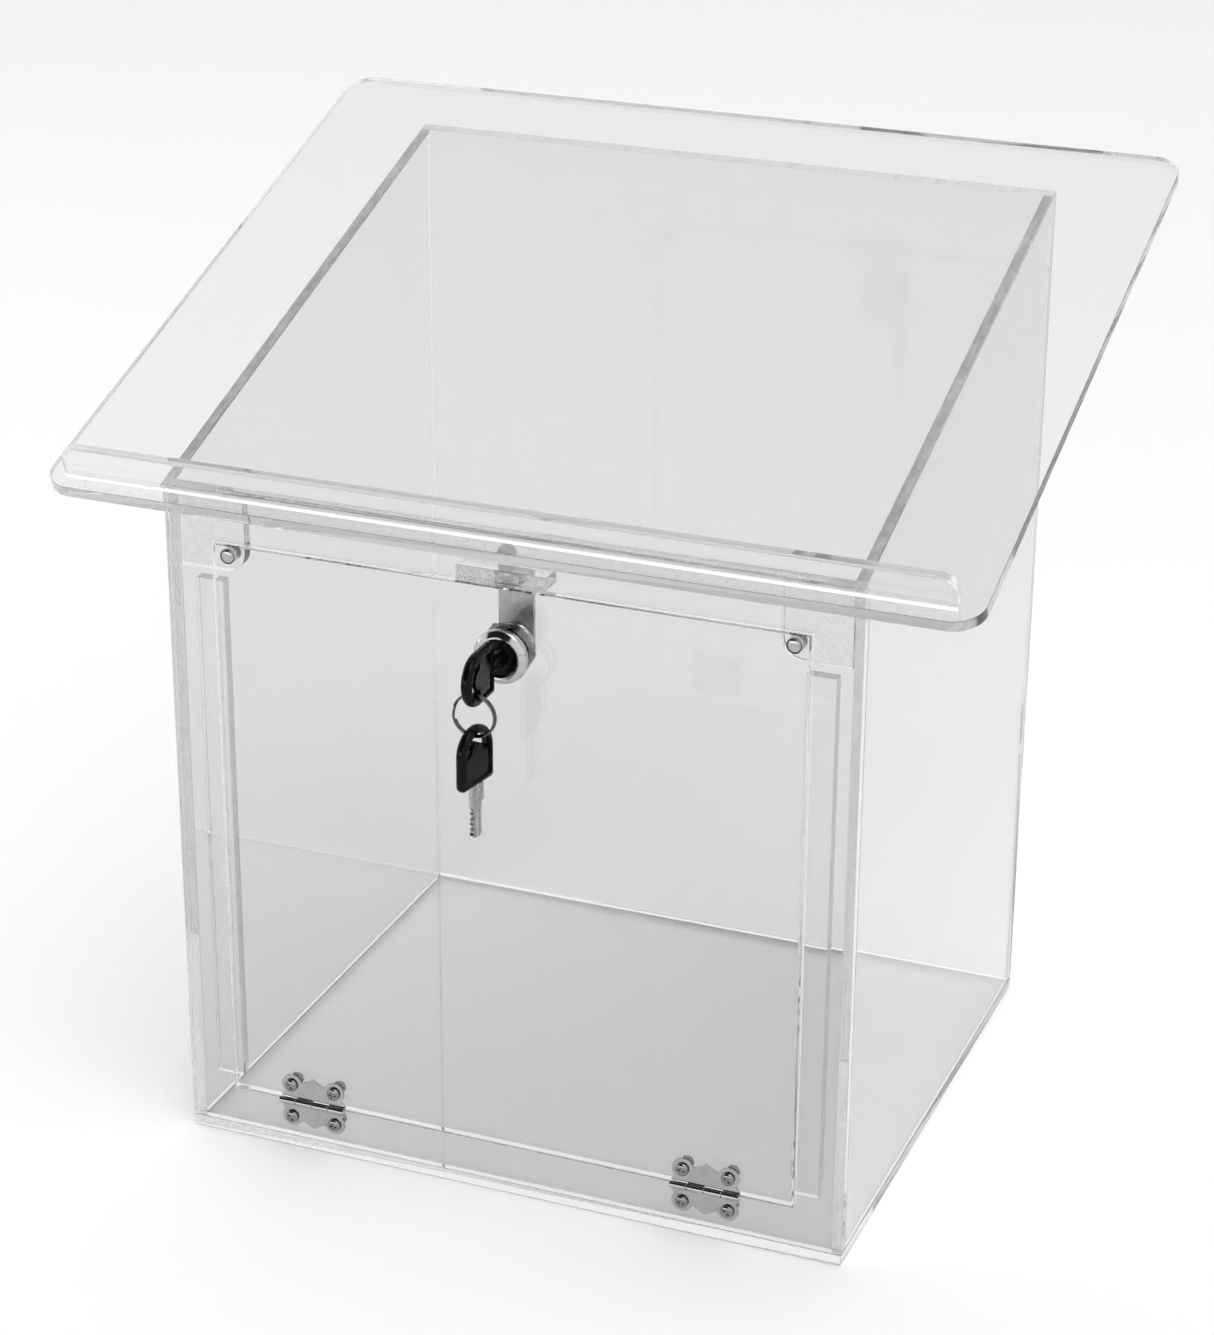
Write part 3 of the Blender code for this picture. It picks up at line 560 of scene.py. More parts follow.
def plate(outlines, thickness):
    """A flat mesh centred on its thickness: the first outline is its edge and the others are holes."""
    curve = bpy.data.curves.new("plate", "CURVE")
    curve.dimensions = "2D"
    curve.fill_mode = "BOTH"
    curve.extrude = thickness / 2
    for points in outlines:
        spline = curve.splines.new("POLY")
        spline.points.add(len(points) - 1)
        for point, (x, y) in zip(spline.points, points):
            point.co = (x, y, 0, 1)
        spline.use_cyclic_u = True
    mesh = applied(working(curve))
    bm = bmesh.new()
    bm.from_mesh(mesh)
    bmesh.ops.remove_doubles(bm, verts=bm.verts, dist=WELD)
    bmesh.ops.recalc_face_normals(bm, faces=bm.faces)
    bm.to_mesh(mesh)
    bm.free()
    return mesh


def rounded_plate(outline_at, thickness, rounding, steps=10):
    """A plate with a round rim: rings of its outline, drawn in towards both faces."""
    bm = bmesh.new()
    rings = []
    for index in range(2 * steps + 2):
        side = -1 if index <= steps else 1
        turn = pi / 2 * (steps - index if side < 0 else index - steps - 1) / steps
        inset = rounding * (1 - cos(turn))
        height = side * (thickness / 2 - rounding + rounding * sin(turn))
        rings.append([bm.verts.new((x, y, height)) for x, y in outline_at(inset)])
    for low, high in zip(rings, rings[1:]):
        for i in range(len(low)):
            bm.faces.new((low[i - 1], low[i], high[i], high[i - 1]))
    bm.faces.new(rings[0])
    bm.faces.new(rings[-1])
    bmesh.ops.remove_doubles(bm, verts=bm.verts, dist=WELD)
    bmesh.ops.recalc_face_normals(bm, faces=bm.faces)
    mesh = bpy.data.meshes.new("rounded_plate")
    bm.to_mesh(mesh)
    bm.free()
    return mesh


def moved(mesh, matrix):
    mesh.transform(matrix)
    return mesh


def joined(meshes):
    """Several meshes as one, each keeping its own body of faces."""
    bm = bmesh.new()
    for mesh in meshes:
        bm.from_mesh(mesh)
    made = bpy.data.meshes.new("joined")
    bm.to_mesh(made)
    bm.free()
    return made


# ---------------------------------------------------------------- acrylic


def polished(node, body, looks=(FACE, EDGE)):
    """The sheet with its arrises rounded, and its sawn edges told apart from its faces."""
    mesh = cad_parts[node].data.copy()
    for attribute in [a.name for a in mesh.attributes if a.name == "custom_normal"]:
        mesh.attributes.remove(mesh.attributes[attribute])
    bm = bmesh.new()
    bm.from_mesh(mesh)
    bmesh.ops.remove_doubles(bm, verts=bm.verts, dist=CAD_WELD)
    bmesh.ops.dissolve_limit(bm, angle_limit=radians(0.3), verts=bm.verts, edges=bm.edges)
    broad = max(bm.faces, key=lambda face: face.calc_area()).normal.copy()
    bm.to_mesh(mesh)
    bm.free()
    mesh = softened(mesh, EDGE_ROUND, 2, 50)
    shown(node + "_polished", mesh, looks, body, "clear_acrylic", node)
    for polygon in mesh.polygons:
        polygon.material_index = 0 if abs(polygon.normal.dot(broad)) > SAME_FACE else 1
    return mesh


def line_pockets(mesh, look):
    """The magnets are glued in, so the walls of their pockets look like the magnets' flanks."""
    low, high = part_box("door_magnet_right")
    centre = (low + high) / 2
    reach = (high.x - low.x) / 2 + 3 * GAP
    mesh.materials.append(look)
    for polygon in mesh.polygons:
        away = hypot(abs(polygon.center.x) - centre.x, polygon.center.z - centre.z)
        if away < reach and abs(polygon.normal.y) < 0.5:
            polygon.material_index = len(mesh.materials) - 1


def film(corner, along, across, wander=FILM_WANDER):
    """A thin patch of cement with wandering edges, filling a rectangle between two sheets."""
    corner, along, across = Vector(corner), Vector(along), Vector(across)
    count = max(8, round(along.length / FILM_STEP))
    rows = FILM_ROWS
    side = across.normalized()
    off = along.cross(across).normalized() * FILM / 2
    bm = bmesh.new()
    layers = []
    for shift in (-off, off):
        grid = []
        for i in range(count + 1):
            start = corner + along * (i / count)
            line = []
            for j in range(rows + 1):
                point = start + across * (j / rows)
                if j in (0, rows):
                    inward = side if j == 0 else -side
                    point += inward * wander * abs(noise.noise(point * FILM_RIPPLES))
                line.append(bm.verts.new(point + shift))
            grid.append(line)
        layers.append(grid)
    below, above = layers
    for i in range(count):
        for j in range(rows):
            bm.faces.new((below[i][j], below[i][j + 1], below[i + 1][j + 1], below[i + 1][j]))
            bm.faces.new((above[i][j], above[i + 1][j], above[i + 1][j + 1], above[i][j + 1]))
    for i in range(count):
        bm.faces.new((below[i][0], below[i + 1][0], above[i + 1][0], above[i][0]))
        bm.faces.new((below[i + 1][rows], below[i][rows], above[i][rows], above[i + 1][rows]))
    for j in range(rows):
        bm.faces.new((below[0][j + 1], below[0][j], above[0][j], above[0][j + 1]))
        bm.faces.new((below[count][j], below[count][j + 1], above[count][j + 1], above[count][j]))
    bmesh.ops.recalc_face_normals(bm, faces=bm.faces)
    mesh = bpy.data.meshes.new("film")
    bm.to_mesh(mesh)
    bm.free()
    return mesh


def build_sheets():
    """Every acrylic piece, with the looks of its faces and edges."""
    for node in ("front_frame", "back_panel", "left_side_panel", "right_side_panel"):
        polished(node, "case")
    polished("base_plate", "case", (FACE, BASE_EDGE))
    polished("top_panel", "case", (FACE, TOP_EDGE))
    polished("paper_ledge", "case", (CLEAR_FACE, EDGE))
    for node in ("cam_keeper", "door_stop_left", "door_stop_right"):
        polished(node, "case", (CLEAR_FACE, CLEAR_EDGE))
    for node in ("corner_gusset_left", "corner_gusset_right"):
        # The gussets' pocket walls take the painted-shade copy of the magnet plating
        line_pockets(polished(node, "case", (CLEAR_FACE, CLEAR_EDGE)), MAGNET_SHADED)
    line_pockets(polished("door_panel", "door"), MAGNET)


def seam(name, mesh, look):
    """Dried cement, which rides on the case."""
    shown(name, mesh, [look], "case", "clear_acrylic")


def build_wall_seams():
    """Cement under the walls, and up the corners between them."""
    half = HALF_WIDTH - SEAM_INSET
    floor = SHEET + GAP / 2
    under = []
    for y in (FRONT + SEAM_INSET, BACK - SHEET + SEAM_INSET):
        under.append(film((-half, y, floor), (2 * half, 0, 0), (0, SEAM_WIDTH, 0)))
    corners = []
    side_low, side_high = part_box("left_side_panel")
    run = side_high.y - side_low.y
    for side in (-1, 1):
        x = side * half - (SEAM_WIDTH if side > 0 else 0)
        under.append(film((x, side_low.y, floor), (0, run, 0), (SEAM_WIDTH, 0, 0)))
        for y, node in ((FRONT + SHEET + GAP / 2, "front_frame"), (BACK - SHEET - GAP / 2, "back_panel")):
            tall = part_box(node)[1].z - 2 * SHEET
            corners.append(film((x, y, SHEET + GAP), (0, 0, tall), (SEAM_WIDTH, 0, 0)))
    seam("base_seams", joined(under), CEMENT_DULL)
    seam("corner_seams", joined(corners), CEMENT)


def measure_slope():
    """The slope's direction, the way off it, and where it starts at the box's front face."""
    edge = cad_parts["right_side_panel"].data
    upper = sorted((v.co.copy() for v in edge.vertices if v.co.z > SLOPE_ABOVE), key=lambda co: co.y)
    direction = upper[-1] - upper[0]
    direction.x = 0
    direction.normalize()
    off = Vector((0, -direction.z, direction.y))
    foot = upper[0].copy()
    foot.x = 0
    foot += off * GAP
    foot += direction * (FRONT - foot.y) / direction.y
    return direction, off, foot


UP_SLOPE, OFF_SLOPE, TOP_FOOT = measure_slope()


def on_top(x, along, off):
    """A point over the top's underside: across, up the slope from the front face, and off it."""
    return TOP_FOOT + Vector((x, 0, 0)) + UP_SLOPE * along + OFF_SLOPE * off


def build_top_seams():
    """Cement between the walls and the sloping top, and between the top and its ledge."""
    length = (BACK - FRONT) / UP_SLOPE.y
    off = -GAP / 2
    sides = []
    for side in (-1, 1):
        x = side * (HALF_WIDTH - SHEET / 2) - SEAM_WIDTH / 2
        corner = on_top(x, SHEET, off)
        sides.append(film(corner, UP_SLOPE * (length - 2 * SHEET), (SEAM_WIDTH, 0, 0), SAWN_WANDER))
    seam("slope_seams", joined(sides), SAWN)

    left = SEAM_INSET - HALF_WIDTH
    across = (2 * HALF_WIDTH - 2 * SEAM_INSET, 0, 0)
    up = UP_SLOPE * SEAM_WIDTH
    back_start = length - (SHEET - SEAM_INSET) / UP_SLOPE.y
    seam("back_top_seam", film(on_top(left, back_start, off), across, up), CEMENT)
    seam("front_top_seam", film(on_top(left, SEAM_INSET, off), across, up), CEMENT_CRUMBLED)

    low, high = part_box("paper_ledge")
    ledge_start = (low.y - FRONT) / UP_SLOPE.y + SHEET * abs(OFF_SLOPE.y) + SEAM_INSET
    corner = on_top(SEAM_INSET - high.x, ledge_start, SHEET + GAP / 2)
    seam("ledge_seam", film(corner, (2 * (high.x - SEAM_INSET), 0, 0), up), CEMENT_FAINT)


def build_fitting_seams():
    """Cement behind the header: on the gussets outside the door, and on the cam's keeper."""
    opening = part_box("door_panel")[1].x + FITTING_START
    behind = FRONT + SHEET + GAP / 2
    gussets = []
    for side, word in ((-1, "left"), (1, "right")):
        low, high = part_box(f"corner_gusset_{word}")
        outer = max(abs(low.x), abs(high.x)) - SEAM_INSET
        near, far = sorted((side * (opening + SEAM_INSET), side * outer))
        corner = (near, behind, low.z + SEAM_INSET)
        tall = high.z - low.z - 2 * SEAM_INSET
        gussets.append(film(corner, (0, 0, tall), (far - near, 0, 0), GUSSET_WANDER))
    seam("fitting_seams", joined(gussets), CEMENT_FAINT)

    low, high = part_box("cam_keeper")
    corner = (low.x + SEAM_INSET, behind, low.z + SEAM_INSET)
    wide = high.x - low.x - 2 * SEAM_INSET
    tall = high.z - low.z - 2 * SEAM_INSET
    seam("keeper_seam", film(corner, (wide, 0, 0), (0, 0, tall)), CEMENT_KEEPER)


# ---------------------------------------------------------------- hinges


def thread(radius, start, end, pitch, depth):
    """Profile points down a threaded length."""
    points, height = [], start
    while height - pitch > end:
        points += [(radius - depth, height), (radius, height - pitch / 2)]
        height -= pitch
    return points + [(radius - depth, height), (radius - depth, end + depth), (radius - 2 * depth, end)]


def build_screw(node, body):
    """A pan-head machine screw with a cross recess and a cut thread."""
    low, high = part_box(node)
    radius = (high.x - low.x) / 2
    head = []
    for step in range(HEAD_STEPS + 1):
        angle = radians(90 * step / HEAD_STEPS)
        rise = (HEAD_HEIGHT - HEAD_RIM) * cos(angle) ** 0.9
        head.append((radius * sin(angle) ** 0.75, HEAD_RIM + rise))
    head[0] = (0, HEAD_HEIGHT)
    head[-1] = (radius, HEAD_RIM)
    head += [(radius, HEAD_CHAMFER), (radius - HEAD_CHAMFER, 0), (SCREW_RADIUS, 0)]
    end = HEAD_HEIGHT - (high.y - low.y)
    shank = thread(SCREW_RADIUS, -THREAD_START, end, THREAD_PITCH, SCREW_THREAD) + [(0, end)]
    mesh = turned(head + shank, 48)
    recess = []
    for x, y in ((CROSS_HALF_LENGTH, CROSS_HALF_WIDTH), (CROSS_HALF_WIDTH, CROSS_HALF_LENGTH)):
        recess.append(cuboid((-x, -y, HEAD_HEIGHT - CROSS_DEPTH), (x, y, HEAD_HEIGHT + PROUD)))
    floor = HEAD_HEIGHT - PIT_DEPTH
    cone = turned([(PIT_MOUTH, HEAD_HEIGHT + 0.2 * MM), (PIT_FLOOR, floor), (0, floor)], 24)
    block = cuboid((-2 * MM, -2 * MM, -1 * MM), (2 * MM, 2 * MM, HEAD_HEIGHT + 0.1 * MM))
    recess.append(combined(cone, [block], "INTERSECT"))     # closes the cone's mouth
    mesh = smooth(combined(mesh, recess), 30)
    turn = Matrix.Rotation(radians(40 * sin(1000 * low.x)), 4, "Z")
    centre = (low + high) / 2
    place = Matrix.Translation((centre.x, low.y + HEAD_HEIGHT, centre.z)) @ STANDING @ turn
    return shown(node + "_fine", mesh, [SCREW], body, "screw_steel", node, matrix=place)


def nut_mesh(flats, thickness, bore):
    """A hexagon nut: both faces chamfered to a circle, and the bore countersunk."""
    corner = flats / 2 / cos(pi / 6)
    half = thickness / 2
    drop = NUT_CHAMFER[0] * (corner - flats / 2) + NUT_CHAMFER[1] * flats / 2
    face = flats / 2 * NUT_FACE
    wide = corner + 0.1 * MM
    blank = plate([hexagon(flats)], thickness)
    lens = [(0, half), (face, half), (wide, half - drop)]
    lens += [(wide, drop - half), (face, -half), (0, -half)]
    mouth = bore + NUT_SINK
    hole = [(0, 2 * half), (mouth + NUT_SINK, 2 * half), (mouth, half), (bore, half - NUT_SINK)]
    hole += [(bore, NUT_SINK - half), (mouth, -half), (mouth + NUT_SINK, -2 * half), (0, -2 * half)]
    mesh = combined(blank, [turned(lens, 72)], "INTERSECT")
    return smooth(combined(mesh, [turned(hole, 48)]), 25)


def build_nut(node, body, bore, look, slot):
    low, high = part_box(node)
    flats = high.z - low.z
    place = Matrix.Translation((low + high) / 2) @ STANDING
    mesh = nut_mesh(flats, high.y - low.y, bore)
    return shown(node + "_fine", mesh, [look], body, slot, node, matrix=place)


def leaf_outline(length, screw_x, screw_z, lower):
    """Upper half of the butterfly: two lobes, a point between them and a straight edge below."""
    half = length / 2 - LEAF_INSET
    valley_x, valley_z = LEAF_VALLEY
    points = [(-half, lower), (half, lower)]
    points += arc((screw_x, screw_z), LOBE_RADIUS, LOBE_START, LOBE_END, LOBE_STEPS)
    points += [(valley_x, valley_z), (0, LEAF_APEX), (-valley_x, valley_z)]
    points += arc((-screw_x, screw_z), LOBE_RADIUS, 180 - LOBE_END, 180 - LOBE_START, LOBE_STEPS)
    return points


def knuckle(radius, bore, half):
    """One tube of the hinge's barrel, its outer edges eased."""
    lip = KNUCKLE_LIP
    tube = [(radius - lip, half), (radius, half - lip), (radius, lip - half), (radius - lip, -half)]
    tube += [(bore, -half), (bore, half)]
    return turned(tube, 56, True)


def build_hinge(word):
    """Two leaves that share the knuckles, their pin, four screws and four nuts."""
    pin_low, pin_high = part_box(f"hinge_{word}_pin")
    centre = (pin_low + pin_high) / 2
    length = pin_high.x - pin_low.x
    screw = middle(f"door_screw_{word}_b") - centre
    radius = FRONT - GAP - centre.y
    pin_radius = (pin_high.z - pin_low.z) / 2
    leaf_middle = radius - LEAF_THICKNESS / 2
    pitch = length / KNUCKLES
    half = (pitch - GAP) / 2
    for part, body, first in (("frame_leaf", "case", 0), ("door_leaf", "door", 1)):
        up = 1 if part == "door_leaf" else -1
        holes = [circle(SCREW_HOLE, 32, (side * screw.x, screw.z)) for side in (-1, 1)]
        leaf = plate([leaf_outline(length, screw.x, screw.z, radius + GAP), *holes], LEAF_THICKNESS)
        leaf = softened(leaf, LEAF_ROUND, 3)
        leaf.transform(Matrix.Translation((0, leaf_middle, 0)) @ STANDING)
        if up < 0:
            leaf.transform(Matrix.Rotation(pi, 4, "Y"))
        pieces = []
        for index in range(first, KNUCKLES, 2):
            x = pitch * (index + 0.5) - length / 2
            tube = knuckle(radius, pin_radius + PIN_PLAY, half)
            pieces.append(moved(tube, Matrix.Translation((x, 0, 0)) @ ACROSS))
            near, far = sorted((up * LEAF_ROOT * radius, up * (radius + 2 * GAP)))
            root_low = (x - half, leaf_middle - LEAF_THICKNESS / 2, near)
            pieces.append(cuboid(root_low, (x + half, leaf_middle + LEAF_THICKNESS / 2, far)))
        mesh = smooth(combined(leaf, pieces, "UNION"), 28)
        node = f"hinge_{word}_{part}"
        shown(node + "_fine", mesh, [NICKEL], body, "hinge_steel", node, matrix=Matrix.Translation(centre))

    end = length / 2
    crown = 0.5 * pin_radius
    dome = [(0, end), (crown, end), (pin_radius, end - PIN_DOME)]
    pin = turned(dome + [(pin_radius, PIN_DOME - end), (crown, -end), (0, -end)], 40)
    node = f"hinge_{word}_pin"
    place = Matrix.Translation(centre) @ ACROSS
    shown(node + "_fine", pin, [BRIGHT], "case", "hinge_steel", node, matrix=place)
    for corner in "ab":
        for side, body in (("frame", "case"), ("door", "door")):
            build_screw(f"{side}_screw_{word}_{corner}", body)
            build_nut(f"{side}_nut_{word}_{corner}", body, SCREW_RADIUS, NUT, "screw_steel")


# ---------------------------------------------------------------- magnets


def build_magnet(node, body, look):
    """A plated disc magnet with a rounded, slightly domed face."""
    low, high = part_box(node)
    radius = (high.x - low.x) / 2
    length = high.y - low.y
    dome = [(share * radius, -drop * MM) for share, drop in MAGNET_DOME]
    rim = [(radius, MAGNET_ROUND - length), (radius - MAGNET_ROUND, -length), (0, -length)]
    centre = (low + high) / 2
    place = Matrix.Translation((centre.x, low.y, centre.z)) @ STANDING
    return shown(node + "_fine", turned(dome + rim, 64), [look], body, "magnet", node, matrix=place)


# ---------------------------------------------------------------- lock


def build_lock_body():
    """The bezel with its rolled lip and cone, and the threaded barrel behind it."""
    low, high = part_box("lock_body")
    radius = (high.x - low.x) / 2
    face = FRONT - low.y
    end = FRONT - high.y
    bezel = [(LIP_RADIUS + out * MM, face - back * MM) for out, back in LIP_PROFILE]
    bezel += [(radius - into * MM, face - back * MM) for into, back in RIM_PROFILE]
    bezel += [(radius, GAP + RIM_CHAMFER), (radius - RIM_CHAMFER, GAP), (BARREL_RADIUS, GAP)]
    barrel = thread(BARREL_RADIUS, -SHEET, end, BARREL_PITCH, BARREL_THREAD)
    bore, mouth = PLUG_RADIUS + GAP, LIP_RADIUS - LIP_PLAY
    inside = [(bore, end), (bore, PLUG_SEAT), (mouth, PLUG_SEAT), (mouth, face - LIP_DEPTH)]
    mesh = turned(bezel + barrel + inside, 128, True)
    place = Matrix.Translation(LOCK_PLACE) @ STANDING
    shown("lock_body_fine", mesh, [CHROME], "door", "lock_chrome", "lock_body", matrix=place)


def build_plug():
    """The plug: a dished head, the keyway, the flattened drive for the cam and a threaded stud."""
    low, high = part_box("lock_plug")
    crown = FRONT - low.y
    seat = PLUG_SEAT + GAP
    drive_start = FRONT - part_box("lock_body")[1].y - GAP
    stud_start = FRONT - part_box("lock_cam")[1].y - GAP
    stud_end = FRONT - high.y
    rim = LIP_RADIUS - GAP
    profile = [(0, crown - PLUG_DISH), (DISH_RADIUS, crown - PLUG_DISH), (DISH_RIM, crown)]
    profile += [(rim - PLUG_ROUND[0], crown), (rim, crown - PLUG_ROUND[1]), (rim, seat)]
    profile += [(PLUG_RADIUS, seat), (PLUG_RADIUS, drive_start), (DRIVE_RADIUS, drive_start)]
    profile += [(DRIVE_RADIUS, stud_start), (STUD_RADIUS, stud_start)]
    profile += thread(STUD_RADIUS, stud_start - THREAD_START, stud_end, THREAD_PITCH, STUD_THREAD)
    profile.append((0, stud_end))
    keyway_low = (-KEYWAY_HALF_WIDTH, -KEYWAY_HALF_HEIGHT, -KEYWAY_DEPTH)
    cutters = [cuboid(keyway_low, (KEYWAY_HALF_WIDTH, KEYWAY_HALF_HEIGHT, KEYWAY_FRONT))]
    for side in (-1, 1):
        near, far = sorted((side * DRIVE_FLATS, side * 2 * DRIVE_FLATS))
        cutters.append(cuboid((near, -DRIVE_CUT, stud_start), (far, DRIVE_CUT, drive_start)))
    mesh = smooth(combined(turned(profile, 96), cutters), 30)
    place = Matrix.Translation(LOCK_PLACE) @ STANDING
    shown("lock_plug_fine", mesh, [PLUG_PLASTIC], "plug", "black_plug", "lock_plug", matrix=place)


def build_cam():
    """The cam: a pressed plate that narrows to a finger, with a hole that fits the plug's drive."""
    low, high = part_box("lock_cam")
    finger_side = CAM_FINGER - CAM_HALF_WIDTH
    tip_radius = CAM_FINGER / 2 - GAP
    edge = outline(
        (-CAM_HALF_WIDTH, -CAM_TAIL, CAM_CORNER),
        (CAM_HALF_WIDTH, -CAM_TAIL, CAM_CORNER),
        (CAM_HALF_WIDTH, CAM_STEP[0], CAM_CORNER),
        (finger_side, CAM_STEP[1], CAM_CORNER),
        (finger_side, CAM_REACH, tip_radius),
        (-CAM_HALF_WIDTH, CAM_REACH, tip_radius),
    )
    radius = DRIVE_RADIUS + GAP
    flats = degrees(asin((DRIVE_FLATS + GAP) / radius))
    hole = arc((0, 0), radius, 90 - flats, 90 + flats, 16)
    hole += arc((0, 0), radius, 270 - flats, 270 + flats, 16)
    mesh = softened(plate([edge, hole], high.y - low.y), CAM_ROUND, 3)
    place = Matrix.Translation((LOCK.x, (low.y + high.y) / 2, LOCK.z)) @ STANDING
    shown("lock_cam_fine", mesh, [CAM], "plug", "cam_steel", "lock_cam", matrix=place)


def build_lock():
    build_lock_body()
    build_nut("lock_nut", "door", BARREL_RADIUS + NUT_CLEARANCE, NUT, "nut_zinc")
    build_plug()
    build_cam()
    build_nut("cam_nut", "plug", STUD_RADIUS, BRIGHT, "screw_steel")


# ---------------------------------------------------------------- keys


def blade_outline():
    """The blade in its own frame: X runs from the tip to the bow, and the cuts are below."""
    neck = BOW_SHOULDER - GAP
    points = [(neck + TANG_LENGTH, TANG_HALF_HEIGHT), (neck, TANG_HALF_HEIGHT), (neck, NECK_PLAIN_SIDE)]
    points += [(COLLAR, NECK_PLAIN_SIDE), (COLLAR, BLADE_HALF_HEIGHT)]
    points.append((-BLADE_TIP + NOSE_SLOPE, BLADE_HALF_HEIGHT))
    points += [(-BLADE_TIP, NOSE_TOP), (-BLADE_TIP, -NOSE_FOOT)]
    pitch = (COLLAR + BLADE_TIP - CUTS_MARGIN) / len(KEY_CUTS)
    for index, depth in enumerate(KEY_CUTS):
        x = -BLADE_TIP + CUTS_START + pitch * index
        floor = depth - BLADE_HALF_HEIGHT
        points.append((x, -BLADE_HALF_HEIGHT))
        points += [(x + share * pitch, floor) for share in CUT_FLOOR]
    points += [(COLLAR - LAST_LAND, -BLADE_HALF_HEIGHT), (COLLAR, -BLADE_HALF_HEIGHT)]
    points += [(COLLAR, -NECK_CUT_SIDE), (neck, -NECK_CUT_SIDE)]
    points += [(neck, -TANG_HALF_HEIGHT), (neck + TANG_LENGTH, -TANG_HALF_HEIGHT)]
    return points


def slot_outline():
    """The bow's curved slot: a band with round ends about the centre of the bow's round end."""
    centre = (BOW_SHOULDER + BOW_ARCH, 0)
    half = SLOT_HALF_WIDTH
    end = SLOT_HALF_ANGLE
    upper = (centre[0] + SLOT_RADIUS * cos(radians(end)), SLOT_RADIUS * sin(radians(end)))
    lower = (upper[0], -upper[1])
    points = arc(centre, SLOT_RADIUS + half, -end, end, 36)
    points += arc(upper, half, end, end + 180, 14)[1:-1]
    points += arc(centre, SLOT_RADIUS - half, end, -end, 28)
    points += arc(lower, half, 180 - end, 360 - end, 14)[1:-1]
    return points


def bow_outline(inset=0.0):
    near = BOW_SHOULDER + inset
    far = BOW_FAR - inset
    half = BOW_HALF_WIDTH - inset
    corner = max(BOW_CORNER[0] - inset, BOW_CORNER[1])
    corners = [(near, -half, corner), (far, -half, half), (far, half, half), (near, half, corner)]
    return outline(*corners, steps=24)


def build_key(prefix, body, matrix):
    """A milled blade in a moulded bow with a raised rim, a sunk panel and a curved slot."""
    blade = softened(plate([blade_outline()], BLADE_THICKNESS), BLADE_ROUND, 2)
    grooves = []
    for side in (-1, 1):
        height = side * BLADE_THICKNESS / 2
        across = side * GROOVE_OFFSET
        low = (-BLADE_TIP - PROUD, across - GROOVE_HALF_WIDTH, height - GROOVE_DEPTH)
        high = (COLLAR + GROOVE_RUNOUT, across + GROOVE_HALF_WIDTH, height + GROOVE_DEPTH)
        grooves.append(cuboid(low, high))
    blade = smooth(combined(blade, grooves), 28)
    shown(prefix + "_blade_fine", blade, [BLADE], body, "key_steel", prefix + "_blade", matrix=matrix)

    bow = rounded_plate(bow_outline, BOW_THICKNESS, BOW_ROUNDING)
    panels = []
    for side in (-1, 1):
        panel = rounded_plate(lambda inset: bow_outline(BOW_RIM + inset), 2 * BOW_RECESS, PANEL_ROUND, 3)
        panels.append(moved(panel, Matrix.Translation((0, 0, side * BOW_THICKNESS / 2))))
    bow = combined(bow, panels + [plate([slot_outline()], 2 * BOW_THICKNESS)])
    half_height, half_thickness = TANG_HALF_HEIGHT + GAP, BLADE_THICKNESS / 2 + GAP
    pocket_low = (BOW_SHOULDER - PROUD, -half_height, -half_thickness)
    pocket = cuboid(pocket_low, (BOW_SHOULDER + TANG_LENGTH + PROUD, half_height, half_thickness))
    bow = smooth(combined(bow, [pocket]), 34)
    shown(prefix + "_bow_fine", bow, [BOW_PLASTIC], body, "black_plastic", prefix + "_bow", matrix=matrix)


def build_ring():
    """A split ring: two flat turns of wire with one sideways step between them."""
    centre = middle("key_ring")
    centre.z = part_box("key_ring")[1].z - RING_WIRE - RING_RADIUS
    first, last = RING_TURNS
    crossing, length = RING_CROSSING
    curve = bpy.data.curves.new("key_ring_fine", "CURVE")
    curve.dimensions = "3D"
    curve.bevel_depth = RING_WIRE
    curve.bevel_resolution = 6
    curve.use_fill_caps = True
    spline = curve.splines.new("POLY")
    spline.points.add((last - first) // RING_STEP)
    for index, point in enumerate(spline.points):
        turn = first + index * RING_STEP
        across = min(max((turn - crossing) / length, 0), 1) - 0.5
        angle = radians(180 - turn)
        point.co = (RING_RADIUS * cos(angle), RING_PITCH * across, RING_RADIUS * sin(angle), 1)
    mesh = applied(working(curve))
    bm = bmesh.new()
    bm.from_mesh(mesh)
    bmesh.ops.remove_doubles(bm, verts=bm.verts, dist=WELD)
    bm.to_mesh(mesh)
    bm.free()
    place = Matrix.Translation(centre)
    shown("key_ring_fine", smooth(mesh, 50), [RING], "ring", "key_steel", "key_ring", matrix=place)


# ---------------------------------------------------------------- studio


def build_camera():
    data = bpy.data.cameras.new("camera")
    data.lens = CAMERA_LENS
    camera = bpy.data.objects.new("camera", data)
    bpy.context.scene.collection.objects.link(camera)
    turn = CAMERA_AIM.to_track_quat("-Z", "Y").to_matrix().to_4x4()
    camera.matrix_world = Matrix.Translation(CAMERA_PLACE) @ turn @ Matrix.Rotation(CAMERA_ROLL, 4, "Z")
    bpy.context.scene.camera = camera


